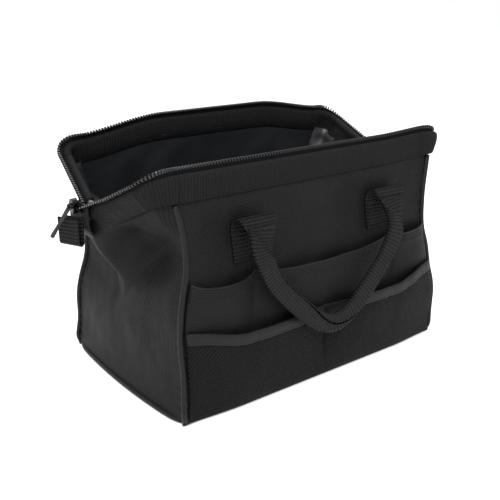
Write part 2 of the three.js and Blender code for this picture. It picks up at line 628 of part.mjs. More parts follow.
// Each end of the strap is sewn flat on the wall, then loops outwards and down to the hinge.
function addHandle(side) {
  const name = SIDE_NAME[side];
  for (const end of [LEFT, RIGHT]) {
    const patch = (u, v) => {
      const x = end * HANDLE_SPACING / 2 - side * lerp(-STRAP_WIDTH / 2, STRAP_WIDTH / 2, u);
      const turn = Math.PI * THREE.MathUtils.clamp((v - SEWN_SHARE) / (1 - SEWN_SHARE), 0, 1);
      const z = lerp(PATCH_FOOT, LOOP_ROOT, Math.min(v / SEWN_SHARE, 1)) + LOOP_RISE * Math.sin(turn);
      const root = wallFace(side, Math.min(z, LOOP_ROOT)) + GAP;
      return new THREE.Vector3(x, side * (root + LOOP_REACH * (1 - Math.cos(turn)) / 2), z);
    };
    add(`${name}_${END_NAME[end]}_handle_patch`, sheet(patch, PATCH_THICKNESS, 1, 15), WEBBING);
  }
  const strap = extruded(handleOutline(), STRAP_THICKNESS);
  strap.translate(0, 0, -STRAP_THICKNESS / 2);
  const lean = radians(HANDLE_LEAN);
  const up = new THREE.Vector3(0, -side * Math.sin(lean), Math.cos(lean));
  const out = new THREE.Vector3(0, side * Math.cos(lean), Math.sin(lean));
  const hinge = new THREE.Vector3(0, side * handleHingeY(side), HANDLE_HINGE_HEIGHT);
  add(`${name}_handle`, placed(strap, new THREE.Vector3(1, 0, 0), up, out, hinge), WEBBING);
}

const EYE_FACE = EYE_X_FRONT + EYE_THICKNESS / 2;
const COVER_FACE = EYE_FACE + GAP + RIVET_HEAD + GAP + CLOTH;

// Rivet, the folded band end that covers the hinge, and the webbing tab, all on the front frame's arm.
function addZipEnd(end) {
  const name = END_NAME[end];
  const profile = [
    new THREE.Vector2(0, 0),
    new THREE.Vector2(RIVET_RADIUS, 0),
    new THREE.Vector2(RIVET_RADIUS, EYE_THICKNESS + GAP),
    new THREE.Vector2(RIVET_HEAD_RADIUS, EYE_THICKNESS + GAP),
    new THREE.Vector2(RIVET_DOME * RIVET_HEAD_RADIUS, EYE_THICKNESS + RIVET_HEAD),
    new THREE.Vector2(0, EYE_THICKNESS + GAP + RIVET_HEAD),
  ];
  const rivet = new THREE.LatheGeometry(profile, 16);
  rivet.rotateZ(-end * Math.PI / 2);
  rivet.translate(end * (EYE_FACE - EYE_THICKNESS), 0, HINGE_HEIGHT);
  add(`${name}_rivet`, rivet, STEEL);

  const cover = (u, v) => {
    const across = 2 * u - 1;
    const z = lerp(-COVER_DROP + COVER_ROUND * across * across, COVER_RISE, v);
    const below = THREE.MathUtils.clamp((-COVER_BEND - z) / (COVER_DROP - COVER_BEND), 0, 1);
    const x = COVER_FACE - CLOTH - COVER_TUCK * below * below;
    return new THREE.Vector3(end * x, across * COVER_WIDTH / 2, HINGE_HEIGHT + z);
  };
  add(`${name}_end_cover`, sheet(cover, end * CLOTH, 6, 7), RIBBED);

  const tab = new THREE.Shape();
  const inner = TAB_FOLD / 2;
  const outer = inner + TAB_CLOTH;
  tab.moveTo(-outer, 0);
  tab.lineTo(-outer, -TAB_DROP + outer);
  tab.absarc(0, -TAB_DROP + outer, outer, Math.PI, 2 * Math.PI);
  tab.lineTo(outer, 0);
  tab.lineTo(inner, 0);
  tab.lineTo(inner, -TAB_DROP + outer);
  tab.absarc(0, -TAB_DROP + outer, inner, 2 * Math.PI, Math.PI, true);
  tab.lineTo(-inner, 0);
  const turn = radians(TAB_TURN);
  const out = new THREE.Vector3(end * Math.cos(turn), -Math.sin(turn), 0);
  const width = new THREE.Vector3(end * Math.sin(turn), Math.cos(turn), 0);
  const reach = TAB_WIDTH / 2 * Math.sin(turn) + outer * Math.cos(turn);
  const hang = new THREE.Vector3(end * (COVER_FACE + GAP + reach), 0, HINGE_HEIGHT - GAP - PULL_THICKNESS);
  hang.addScaledVector(width, -TAB_WIDTH / 2);
  const upright = new THREE.Vector3(0, 0, 1);
  add(`${name}_tab`, placed(extruded(tab, TAB_WIDTH, 6), out, upright, width, hang), WEBBING);
}

// The slider stands above the tab with a small bridge; the pull's crossbar turns inside the bridge.
const SLIDER_FOOT = HINGE_HEIGHT + 1 + GAP;
const BRIDGE_X = COVER_FACE + GAP + SLIDER_BODY + BRIDGE_INNER;
const BRIDGE_Z = SLIDER_FOOT + SLIDER_LENGTH / 2;

function addSlider() {
  const shield = new THREE.Shape();
  const [w, l] = [SLIDER_WIDTH / 2, SLIDER_LENGTH];
  shield.moveTo(-SLIDER_FOOT_SHARE * w, 0);
  shield.lineTo(SLIDER_FOOT_SHARE * w, 0);
  shield.lineTo(w, SLIDER_WIDEST * l);
  shield.quadraticCurveTo(w, l, 0, l);
  shield.quadraticCurveTo(-w, l, -w, SLIDER_WIDEST * l);
  const yAxis = new THREE.Vector3(0, 1, 0);
  const zAxis = new THREE.Vector3(0, 0, 1);
  const out = new THREE.Vector3(-1, 0, 0);
  const seat = new THREE.Vector3(-(COVER_FACE + GAP), 0, SLIDER_FOOT);
  const body = placed(extruded(shield, SLIDER_BODY, 6), yAxis, zAxis, out, seat);
  const arch = new THREE.Shape();
  const root = -BRIDGE_INNER - BRIDGE_ROOT;
  arch.moveTo(root, -BRIDGE_OUTER);
  arch.lineTo(0, -BRIDGE_OUTER);
  arch.absarc(0, 0, BRIDGE_OUTER, -Math.PI / 2, Math.PI / 2);
  arch.lineTo(root, BRIDGE_OUTER);
  arch.lineTo(root, BRIDGE_INNER);
  arch.lineTo(0, BRIDGE_INNER);
  arch.absarc(0, 0, BRIDGE_INNER, Math.PI / 2, -Math.PI / 2, true);
  arch.lineTo(root, -BRIDGE_INNER);
  const from = new THREE.Vector3(-BRIDGE_X, -BRIDGE_WIDTH / 2, BRIDGE_Z);
  const bridge = placed(extruded(arch, BRIDGE_WIDTH, 6), out, zAxis, yAxis, from);
  add('zip_slider', joined(body, bridge), NICKEL);
}

// The pull is drawn in its own plane, hanging down from its crossbar at the origin.
function addPull() {
  const half = PULL_WIDTH / 2;
  const plate = new THREE.Shape();
  const eyeTop = PULL_THICKNESS / 2;
  plate.moveTo(-half, eyeTop);
  plate.lineTo(-half, -PULL_HEAD);
  plate.lineTo(-PULL_NECK * half, -PULL_LENGTH / 2);
  plate.lineTo(-half, -PULL_LENGTH + half);
  plate.absarc(0, -PULL_LENGTH + half, half, Math.PI, 2 * Math.PI);
  plate.lineTo(PULL_NECK * half, -PULL_LENGTH / 2);
  plate.lineTo(half, -PULL_HEAD);
  plate.lineTo(half, eyeTop);
  const eye = new THREE.Path();
  const slot = BRIDGE_WIDTH / 2 + GAP;
  eye.moveTo(-slot, -eyeTop);
  eye.lineTo(-slot, -eyeTop - BRIDGE_OUTER);
  eye.lineTo(slot, -eyeTop - BRIDGE_OUTER);
  eye.lineTo(slot, -eyeTop);
  plate.holes.push(eye);
  const pull = extruded(plate, PULL_THICKNESS, 6);
  pull.translate(0, 0, -PULL_THICKNESS / 2);
  const lean = radians(PULL_LEAN);
  const up = new THREE.Vector3(Math.sin(lean), 0, Math.cos(lean));
  const out = new THREE.Vector3(-Math.cos(lean), 0, Math.sin(lean));
  const crossbar = new THREE.Vector3(-BRIDGE_X, 0, BRIDGE_Z);
  add('zip_pull', placed(pull, new THREE.Vector3(0, 1, 0), up, out, crossbar), NICKEL);
}

addBase();
addEndPanels();
for (const side of [FRONT, BACK]) {
  addWall(side);
  addPockets(side);
  addRim(side);
  addFrame(side);
  for (const end of [LEFT, RIGHT]) {
    addHem(side, end);
    addCorner(side, end);
  }
  addHandle(side);
}
for (const end of [LEFT, RIGHT]) addZipEnd(end);
addSlider();
addPull();

export default bag;
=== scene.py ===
# %% [markdown]
# # A zippered tool bag
# The bag stands open on a hinged wire frame. Its walls are woven polyester, a ribbed band runs round the
# mouth with a zip on top of it, and cloth and mesh pockets with a hanging webbing handle sit on each wall.
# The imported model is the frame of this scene: every soft piece below takes the place of one of its solids.

# %% The frame
import math

import bpy
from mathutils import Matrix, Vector, noise


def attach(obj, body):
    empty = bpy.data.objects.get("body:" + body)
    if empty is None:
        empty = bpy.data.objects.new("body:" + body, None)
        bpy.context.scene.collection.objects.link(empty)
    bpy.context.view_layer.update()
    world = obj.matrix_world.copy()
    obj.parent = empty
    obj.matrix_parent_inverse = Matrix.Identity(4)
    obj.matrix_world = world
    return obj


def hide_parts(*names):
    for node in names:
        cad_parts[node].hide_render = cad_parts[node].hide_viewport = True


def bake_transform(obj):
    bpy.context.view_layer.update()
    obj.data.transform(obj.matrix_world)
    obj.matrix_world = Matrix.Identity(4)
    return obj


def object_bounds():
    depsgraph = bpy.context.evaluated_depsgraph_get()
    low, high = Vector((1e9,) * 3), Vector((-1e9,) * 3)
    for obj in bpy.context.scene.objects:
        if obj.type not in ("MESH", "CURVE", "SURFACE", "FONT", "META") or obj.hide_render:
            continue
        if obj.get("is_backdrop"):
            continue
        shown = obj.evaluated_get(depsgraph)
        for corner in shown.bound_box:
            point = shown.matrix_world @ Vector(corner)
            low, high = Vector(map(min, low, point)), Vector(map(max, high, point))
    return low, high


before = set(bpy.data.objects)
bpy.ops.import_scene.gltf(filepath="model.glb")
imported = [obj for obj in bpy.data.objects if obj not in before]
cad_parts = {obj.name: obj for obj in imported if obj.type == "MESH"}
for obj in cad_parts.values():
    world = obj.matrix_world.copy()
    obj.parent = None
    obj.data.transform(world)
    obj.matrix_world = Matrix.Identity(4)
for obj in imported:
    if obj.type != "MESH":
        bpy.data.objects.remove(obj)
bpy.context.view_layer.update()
print("nodes:", len(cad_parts))

# %% [markdown]
# ## Camera
# The photograph was taken from a little above the rim, towards the left front corner, with a normal lens. A
# camera can be moved by eye until the outline fits. This one was worked out beforehand from the bag's own
# straight edges, so that any later difference comes from a shape and not from the view.

# %% Camera
LENS_MM = 54.17
camera_data = bpy.data.cameras.new("camera")
camera_data.lens = LENS_MM
camera_data.sensor_width = 36
camera = bpy.data.objects.new("camera", camera_data)
bpy.context.collection.objects.link(camera)
camera.location = (-0.4603, -0.5876, 0.3595)
towards_camera = Vector((-0.576, -0.749, 0.327))
camera.rotation_euler = towards_camera.to_track_quat("Z", "Y").to_euler()
bpy.context.scene.camera = camera
print("camera at", tuple(round(c, 3) for c in camera.location))

# %% [markdown]
# ## Colours, nodes and finishes
# Colours are picked as sRGB hex values, as a colour card gives them, and turned to the linear values that
# the shader works in. Nodes can be laid out by hand in the editor; one function that adds any node with its
# settings and links keeps each finish to a few lines that can be read and changed.

# %% Colour and node helpers
def linear(hex_colour, alpha=1.0):
    """sRGB hex to the linear colour that shaders use."""
    parts = [int(hex_colour[i:i + 2], 16) / 255 for i in (1, 3, 5)]
    return tuple(c / 12.92 if c <= 0.04045 else ((c + 0.055) / 1.055) ** 2.4 for c in parts) + (alpha,)


def add_node(tree, kind, inputs=None, **settings):
    """Adds one node; an input given as a socket is linked, any other is set."""
    node = tree.nodes.new(kind)
    for name, value in settings.items():
        setattr(node, name, value)
    for name, value in (inputs or {}).items():
        socket = node.inputs[name]
        if isinstance(value, bpy.types.NodeSocket):
            tree.links.new(value, socket)
        else:
            socket.default_value = value
    return node


def new_finish(name, hex_colour, roughness, specular=0.5, metallic=0.0):
    """A material with its principled shader, ready for its own nodes."""
    material = bpy.data.materials.new(name)
    material.use_nodes = True
    shader = material.node_tree.nodes["Principled BSDF"]
    shader.inputs["Base Color"].default_value = linear(hex_colour)
    shader.inputs["Roughness"].default_value = roughness
    shader.inputs["Specular IOR Level"].default_value = specular
    shader.inputs["Metallic"].default_value = metallic
    return material, material.node_tree, shader


print("black polyester in linear light:", [round(c, 4) for c in linear("#1a1a1b")])

# %% [markdown]
# ### Woven patterns
# Every cloth piece carries a UV map in metres along its threads, so one repeat of a pattern is a real
# length. A weave could be a photograph of cloth, but a pair of sine waves is smaller and has no seams: their
# product is the over and under of a plain weave, and one wave alone is a rib. At this picture's size one
# pixel is about a millimetre, so real 600 denier threads, 0.4 mm apart, would vanish. They are drawn 1.4 mm
# apart, two in each wave of 2.8 mm, so that their grain shows.

# %% Woven pattern helpers
def waves(tree, pitch_u, pitch_v, turn=0.0):
    """The cloth's UV and two waves in -1..1, across and along it, at pitches in metres, turned by an angle."""
    uv = add_node(tree, "ShaderNodeUVMap")
    turned = add_node(tree, "ShaderNodeMapping", {"Vector": uv.outputs[0], "Rotation": (0, 0, turn)})
    axes = add_node(tree, "ShaderNodeSeparateXYZ", {0: turned.outputs[0]})
    made = []
    for axis, pitch in ((0, pitch_u), (1, pitch_v)):
        angle = add_node(tree, "ShaderNodeMath", {0: axes.outputs[axis], 1: 2 * math.pi / pitch},
                         operation="MULTIPLY")
        made.append(add_node(tree, "ShaderNodeMath", {0: angle.outputs[0]}, operation="SINE").outputs[0])
    return uv.outputs[0], made[0], made[1]


def dress(tree, shader, uv, height, dark, light, relief, contrast=0.5, patch=0.045):
    """Colour and bump from one height in -1..1: dark gaps, lighter threads, and slow uneven patches of lighter
    and darker colour.
    """
    slow = add_node(tree, "ShaderNodeTexNoise", {"Vector": uv, "Scale": 1 / patch, "Detail": 3.0})
    grain = add_node(tree, "ShaderNodeTexNoise", {"Vector": uv, "Scale": 700.0, "Detail": 2.0})
    uneven = add_node(tree, "ShaderNodeMath", {0: slow.outputs[0], 1: grain.outputs[0]}, operation="ADD")
    level = add_node(tree, "ShaderNodeMath", {0: height, 1: contrast, 2: uneven.outputs[0]},
                     operation="MULTIPLY_ADD")
    share = add_node(tree, "ShaderNodeMapRange",
                     {"Value": level.outputs[0], "From Min": 0.2, "From Max": 1.8})
    colour = add_node(tree, "ShaderNodeMix", {0: share.outputs[0], 6: linear(dark), 7: linear(light)},
                      data_type="RGBA")
    tree.links.new(colour.outputs[2], shader.inputs["Base Color"])
    bump = add_node(tree, "ShaderNodeBump", {"Height": height, "Strength": 0.7, "Distance": relief})
    tree.links.new(bump.outputs[0], shader.inputs["Normal"])


def plain_weave(name, look, pitches, colours, relief, contrast, turn=0.0, patch=0.045):
    """Cloth whose threads go over and under; look is its colour, roughness and specular level."""
    material, tree, shader = new_finish(name, *look)
    uv, across, along = waves(tree, *pitches, math.radians(turn))
    weave = add_node(tree, "ShaderNodeMath", {0: across, 1: along}, operation="MULTIPLY")
    dress(tree, shader, uv, weave.outputs[0], *colours, relief, contrast, patch)
    return material


print("made helpers: waves, dress, plain_weave")

# %% [markdown]
# ### Woven polyester
# The walls are 600 denier polyester, a matt plain weave with a slight diagonal sheen where the threads
# catch the light. Plain black would look like a hole with no cloth in it. Very dark threads with darker
# gaps leave most of what the eye sees to the soft white of the studio on the threads.

# %% Woven polyester
polyester = plain_weave("woven_polyester", ("#131314", 0.58, 0.11), (0.0028, 0.0028),
                        ("#050506", "#1a1a1b"), relief=0.00025, contrast=0.7, turn=45)
print("made", polyester.name)

# %% [markdown]
# ### Coated lining
# The inside of the cloth is coated with polyurethane, which gives the lining a smooth, slightly bluish
# gloss with soft broad highlights along its folds. It is a second material on the back of the same sheet,
# which is closer to the real cloth than a second sheet behind it.

# %% Coated lining
lining = plain_weave("coated_lining", ("#17181a", 0.36, 0.45), (0.0026, 0.0026),
                     ("#131416", "#222326"), relief=0.00006, contrast=0.1, patch=0.03)
print("made", lining.name)

# %% [markdown]
# ### Ribbed band, webbing and tapes
# The band round the mouth is woven with ribs that stand across its length, and the handle's webbing has
# coarser ones. The binding is a smooth flat tape, and the zip's tape is a fine herringbone. Modelled ribs
# would take many thousands of faces, so each rib is a height that colours and bumps the surface.

# %% Ribbed band
ribbed_band, tree, shader = new_finish("ribbed_band", "#101011", 0.75, 0.1)
uv, across, along = waves(tree, 0.0030, 0.0056)
rough_rib = add_node(tree, "ShaderNodeTexNoise", {"Vector": uv, "Scale": 300.0, "Detail": 3.0})
rib_height = add_node(tree, "ShaderNodeMath", {0: rough_rib.outputs[0], 1: 3.0, 2: across},
                      operation="MULTIPLY_ADD")
dress(tree, shader, uv, rib_height.outputs[0], "#020203", "#161617", 0.0006, 0.55)
print("made", ribbed_band.name)

# %% Webbing
webbing, tree, shader = new_finish("woven_webbing", "#101011", 0.6, 0.14)
uv, across, along = waves(tree, 0.0034, 0.0030)
rib = add_node(tree, "ShaderNodeMath", {0: along, 1: 0.35, 2: across}, operation="MULTIPLY_ADD")
dress(tree, shader, uv, rib.outputs[0], "#020203", "#19191a", 0.0009, 0.9)
print("made", webbing.name)

# %% Binding, zip tape and piping cover
binding = plain_weave("binding_tape", ("#161617", 0.45, 0.2), (0.0016, 0.0016),
                      ("#070708", "#111112"), relief=0.0001, contrast=0.25)
zip_tape = plain_weave("zip_tape", ("#070708", 0.85, 0.08), (0.0018, 0.0024),
                       ("#040405", "#0e0e0f"), relief=0.00015, contrast=0.4, turn=30)
piping_cover = plain_weave("piping_cover", ("#131314", 0.45, 0.2), (0.002, 0.002),
                           ("#060607", "#101011"), relief=0.00012, contrast=0.35, turn=35)
print("made", binding.name, zip_tape.name, piping_cover.name)

# %% [markdown]
# ### Netting
# The lower pocket is a knitted net: thin threads cross at 45 degrees and leave diamond holes, darker than
# the threads. The holes could be cut out or made see-through, but dark cloth lies right behind the net, so
# dark diamonds look the same and render faster. Real holes are about 2 mm wide; they are drawn at 2.8 mm so
# that they still show.

# %% Netting
netting, tree, shader = new_finish("knitted_netting", "#0e0e0f", 0.65, 0.12)
uv, across, along = waves(tree, 0.0056, 0.0056, math.radians(45))
ridge_u = add_node(tree, "ShaderNodeMath", {0: across}, operation="ABSOLUTE")
ridge_v = add_node(tree, "ShaderNodeMath", {0: along}, operation="ABSOLUTE")
hole = add_node(tree, "ShaderNodeMath", {0: ridge_u.outputs[0], 1: ridge_v.outputs[0]}, operation="MINIMUM")
thread = add_node(tree, "ShaderNodeMath", {0: hole.outputs[0], 1: -2.6, 2: 1.0}, operation="MULTIPLY_ADD")
dress(tree, shader, uv, thread.outputs[0], "#010102", "#121213", 0.0007, 0.75)
print("made", netting.name)

# %% [markdown]
# ### Plastic and metal
# The zip's teeth are moulded acetal, hard and glossy, which is why they glint along the rim. The slider is
# zinc with a black nickel plate, and the frame is steel wire with fine marks along it from drawing. The
# board in the bottom is pebbled polyethylene. Fine noise varies the gloss, the height or both, because no
# hard surface reflects quite evenly.

# %% Plastic and metal
def hard_finish(name, look, scale, detail=2.0, gloss=None, bump=None):
    """A finish with noise, at a scale per metre, in its gloss (from, to) or its bump (strength, height)."""
    material, tree, shader = new_finish(name, *look)
    place = add_node(tree, "ShaderNodeTexCoord")
    stretched = add_node(tree, "ShaderNodeMapping", {"Vector": place.outputs["Object"], "Scale": scale})
    grain = add_node(tree, "ShaderNodeTexNoise",
                     {"Vector": stretched.outputs[0], "Scale": 1.0, "Detail": detail})
    if gloss:
        uneven = add_node(tree, "ShaderNodeMapRange",
                          {"Value": grain.outputs[0], "To Min": gloss[0], "To Max": gloss[1]})
        tree.links.new(uneven.outputs[0], shader.inputs["Roughness"])
    if bump:
        raised = add_node(tree, "ShaderNodeBump",
                          {"Height": grain.outputs[0], "Strength": bump[0], "Distance": bump[1]})
        tree.links.new(raised.outputs[0], shader.inputs["Normal"])
    return material


zip_teeth = hard_finish("acetal_teeth", ("#0c0c0d", 0.25, 0.5), (900, 900, 900), gloss=(0.14, 0.34))
nickel = hard_finish("black_nickel_plate", ("#303134", 0.24, 0.5, 1.0), (400, 400, 400), detail=4.0,
                     gloss=(0.14, 0.36), bump=(0.25, 0.0002))
steel_wire = hard_finish("drawn_steel_wire", ("#8d8f92", 0.35, 0.5, 1.0), (40, 900, 900), detail=3.0,
                         gloss=(0.22, 0.5))
board_plastic = hard_finish("polyethylene_board", ("#121213", 0.5, 0.4), (500, 500, 500),
                            bump=(0.4, 0.0002))
thread_finish = hard_finish("bonded_thread", ("#151516", 0.5, 0.2), (1500, 1500, 1500),
                            bump=(0.4, 0.0001))
print("made", zip_teeth.name, nickel.name, steel_wire.name, board_plastic.name, thread_finish.name)

# %% [markdown]
# ## Studio
# A white table that is lit from below, as product photographers use to lose the shadow, in an even white
# surround. The surround alone would leave the black cloth without shape, so one large soft light from the
# upper left front draws the folds, and a weaker one above the back lifts the inside. The standard view
# keeps white white.

# %% Studio
bpy.context.scene.view_settings.view_transform = "Standard"
world = bpy.data.worlds.new("white_surround")
bpy.context.scene.world = world
world.use_nodes = True
world.node_tree.nodes["Background"].inputs["Color"].default_value = (1.0, 1.0, 1.0, 1.0)
world.node_tree.nodes["Background"].inputs["Strength"].default_value = 1.0

table_top, tree, shader = new_finish("lit_white_acrylic", "#f4f4f4", 0.9, 0.0)
shader.inputs["Emission Color"].default_value = linear("#ffffff")
shader.inputs["Emission Strength"].default_value = 0.3
bpy.ops.mesh.primitive_plane_add(size=12, location=(0, 0, 0))
floor = bpy.context.object
floor.name = "studio_floor"
floor.data.materials.append(table_top)
floor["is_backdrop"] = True


def soft_light(name, place, aim, size, power):
    """A square area light that looks at a point."""
    data = bpy.data.lights.new(name, "AREA")
    data.size = size
    data.energy = power
    lamp = bpy.data.objects.new(name, data)
    bpy.context.collection.objects.link(lamp)
    lamp.location = place
    lamp.rotation_euler = (Vector(place) - Vector(aim)).to_track_quat("Z", "Y").to_euler()


soft_light("key_softbox", (-0.75, -0.95, 1.35), (0, 0, 0.15), 0.8, 24)
soft_light("top_softbox", (0.5, 0.5, 1.6), (0, 0, 0.1), 0.9, 7)
print("studio ready")

# %% [markdown]
# ## The bag's measures
# These are the same measures that the solids were made with, in millimetres. The seams between the walls
# and the ends draw in to a waist, and the two rails of the mouth lean in over the base. With the wall and
# the seam as formulas, each soft piece finds its place by itself and neighbours stay together when a value
# changes, which points moved by hand would not do.

# %% Measures
MM = 0.001
FRONT, BACK, LEFT, RIGHT = -1, 1, -1, 1
SIDE_NAME = {FRONT: "front", BACK: "back"}
END_NAME = {LEFT: "left", RIGHT: "right"}
BODY_LENGTH, BODY_DEPTH = 320, 208
RAIL_SPAN, RAIL_HEIGHT, BACK_RISE = 164, 211, 8
PANEL_BULGE, WAIST_DEPTH, WAIST_HEIGHT, WAIST_REACH = 3, 13, 155, 75
SLUMP, SLUMP_TOP = 8, 95        # how far the right end has settled outwards, and up to which height
FOLD_HEIGHT, CLOTH, PIPING_RADIUS = 4, 1.6, 2.6
FOOT_Y = BODY_DEPTH / 2 - PIPING_RADIUS
BAND_DROP = 20                  # from the rail down to the band's lower edge
BACK_ARCH, FRONT_LIFT = 13, 3.2
SEAM_X = 155                    # roughly where the upright seams stand, for how far the rim lifts them
print("body", BODY_LENGTH, "x", BODY_DEPTH, "mm, front rail at", RAIL_HEIGHT, "mm")

# %% [markdown]
# ### Places on the bag
# The wall, the seam and the rim are formulas of these measures. smoothstep gives the soft start and stop
# that cloth has wherever one form passes into another.

# %% Wall, seam and rim
def lerp(a, b, t):
    return a + (b - a) * t


def clamp(t, low=0.0, high=1.0):
    return max(low, min(high, t))


def smoothstep(t, low=0.0, high=1.0):
    t = clamp((t - low) / (high - low))
    return t * t * (3 - 2 * t)


def rail_height(side):
    return RAIL_HEIGHT + (BACK_RISE if side == BACK else 0)


def wall_y(side, z):
    """Distance of the wall's middle from the bag's middle plane."""
    rise = (z - FOLD_HEIGHT) / (rail_height(side) - FOLD_HEIGHT)
    foot = rail_height(side) - BAND_DROP
    belly = math.sin(math.pi * clamp((z - FOLD_HEIGHT) / (foot - FOLD_HEIGHT)))
    return lerp(FOOT_Y, RAIL_SPAN / 2, rise) + PANEL_BULGE * belly


def seam_x(end, z, side):
    """How far out the piping stands; the right end has slumped, and the left one sinks in at the back."""
    reach = clamp((z - WAIST_HEIGHT) / WAIST_REACH, -1, 1)
    x = BODY_LENGTH / 2 - PIPING_RADIUS - WAIST_DEPTH * math.cos(reach * math.pi / 2) ** 2
    x += 3 * math.exp(-(z / 22) ** 2)
    if end == RIGHT:
        settled = SLUMP * math.sin(math.pi * clamp(z / SLUMP_TOP)) ** 2
        return x + settled + (10 * smoothstep(z, 115, 178) if side == FRONT else 0)
    return x - (8 * math.exp(-((z - 100) / 22) ** 2) if side == BACK else 0)


def rail_lift(side, x):
    """How much higher than its wire the soft rim stands: it arches over the back rail's middle."""
    if side == BACK:
        return BACK_ARCH * (1 - smoothstep(abs(x), 60, 165))
    return (FRONT_LIFT + 2.6 * smoothstep(x, 90, 165)) * (1 - smoothstep(abs(x), 165, 225))


CORNER_PUFF = 8


def rim_puff(side, distance):
    """The folded layers of cloth puff out round the right front corner."""
    if side == BACK:
        return 0.0
    return CORNER_PUFF * smoothstep(distance, 146, 168) * (1 - smoothstep(distance, 195, 240))


def ripple(x, z, seed, size):
    """Slow, smooth unevenness of cloth in -1..1."""
    return noise.noise(Vector((x / size, z / size, seed)))


print("rails at", rail_height(FRONT), "and", rail_height(BACK), "mm")

# %% [markdown]
# ## Sheets of cloth
# A cloth piece could be a plane that is pushed and pulled by hand. Here it is a function of two shares, u
# and v, that gives a point in millimetres, because a formula can be changed and run again. The grid helper
# turns it into a mesh with its UV map in metres. It gives the sheet its thickness, and a second material on
# its back where the cloth has one.

# %% Sheet helper
def link_mesh(name, points, faces, materials):
    """A smooth mesh object from points in millimetres."""
    mesh = bpy.data.meshes.new(name)
    mesh.from_pydata([tuple(c * MM for c in p) for p in points], [], faces)
    mesh.update()
    mesh.polygons.foreach_set("use_smooth", [True] * len(mesh.polygons))
    for material in materials:
        mesh.materials.append(material)
    piece = bpy.data.objects.new(name, mesh)
    bpy.context.collection.objects.link(piece)
    return piece


def grid(name, surface, columns, rows, materials, thickness=0.0, offset=-1.0):
    """A sheet from surface(u, v); its front faces the way that u turned to v shows."""
    points = [[Vector(surface(i / columns, j / rows)) for i in range(columns + 1)] for j in range(rows + 1)]
    middle_row, middle_column = rows // 2, columns // 2
    u_at, v_at = [0.0], [0.0]
    for i in range(columns):
        u_at.append(u_at[-1] + (points[middle_row][i + 1] - points[middle_row][i]).length)
    for j in range(rows):
        v_at.append(v_at[-1] + (points[j + 1][middle_column] - points[j][middle_column]).length)
    cells = [(i, j) for j in range(rows) for i in range(columns)]
    wide = columns + 1
    faces = [(j * wide + i, j * wide + i + 1, (j + 1) * wide + i + 1, (j + 1) * wide + i) for i, j in cells]
    piece = link_mesh(name, [p for row in points for p in row], faces, materials)
    uv_layer = piece.data.uv_layers.new(name="UVMap")
    flat = []
    for i, j in cells:
        for a, b in ((i, j), (i + 1, j), (i + 1, j + 1), (i, j + 1)):
            flat += [u_at[a] * MM, v_at[b] * MM]
    uv_layer.data.foreach_set("uv", flat)
    if thickness:
        solid = piece.modifiers.new("thickness", "SOLIDIFY")
        solid.thickness = thickness * MM
        solid.offset = offset
        solid.material_offset = len(materials) - 1
    return piece


print("made helpers: link_mesh, grid")

# %% [markdown]
# ## Cords
# Piping and rolled edges are a round section carried along a path. A curve with a bevel does the same; a
# mesh can also carry a UV map in metres along and round it, so the weave keeps its size there too.

# %% Cord helpers
def sweep(name, path, section, materials):
    """A closed section carried along a path of (point, across, up) frames."""
    count = len(section)
    points, lengths = [], [0.0]
    for k, (point, across, up) in enumerate(path):
        points += [point + across * a + up * b for a, b in section]
        if k:
            lengths.append(lengths[-1] + (point - path[k - 1][0]).length)
    round_by = sum((Vector(section[i]) - Vector(section[i - 1])).length for i in range(count)) / count
    faces, flat = [], []
    for k in range(len(path) - 1):
        for i in range(count):
            j = (i + 1) % count
            faces.append((k * count + i, k * count + j, (k + 1) * count + j, (k + 1) * count + i))
            for a, b in ((k, i), (k, i + 1), (k + 1, i + 1), (k + 1, i)):
                flat += [lengths[a] * MM, b * round_by * MM]
    last = (len(path) - 1) * count
    faces.append(tuple(reversed(range(count))))
    faces.append(tuple(range(last, last + count)))
    flat += [0.0, 0.0] * (2 * count)
    piece = link_mesh(name, points, faces, materials)
    piece.data.uv_layers.new(name="UVMap").data.foreach_set("uv", flat)
    return piece


def frames_along(points, up_hint):
    """(point, across, up) at each point of a path, with up held near the hint."""
    made = []
    for k, point in enumerate(points):
        before, after = points[max(k - 1, 0)], points[min(k + 1, len(points) - 1)]
        tangent = (after - before).normalized()
        across = tangent.cross(Vector(up_hint)).normalized()
        made.append((point, across, across.cross(tangent).normalized()))
    return made


def ring(radius, sides):
    """A round section."""
    angles = [2 * math.pi * i / sides for i in range(sides)]
    return [(radius * math.cos(angle), radius * math.sin(angle)) for angle in angles]


print("cord helpers ready")

# %% [markdown]
# ## Stitches and teeth
# Both are hundreds of small blocks in a row. An array would need a curve for every row, so one function
# adds a block from its rings of four points wherever it is wanted. A stitch is a short bar of thread,
# pulled thin where it dives into the cloth.

# %% Stitch helpers
STITCH_PITCH, STITCH_LENGTH, THREAD_RADIUS = 3.6, 2.5, 0.38


def add_block(points, faces, rings):
    """Adds a small closed solid that is given as rings of four points."""
    base = len(points)
    last = base + 4 * (len(rings) - 1)
    for corners in rings:
        points += corners
    for low in range(base, last, 4):
        for i in range(4):
            j = (i + 1) % 4
            faces.append((low + i, low + j, low + 4 + j, low + 4 + i))
    faces.append((base + 3, base + 2, base + 1, base))
    faces.append((last, last + 1, last + 2, last + 3))


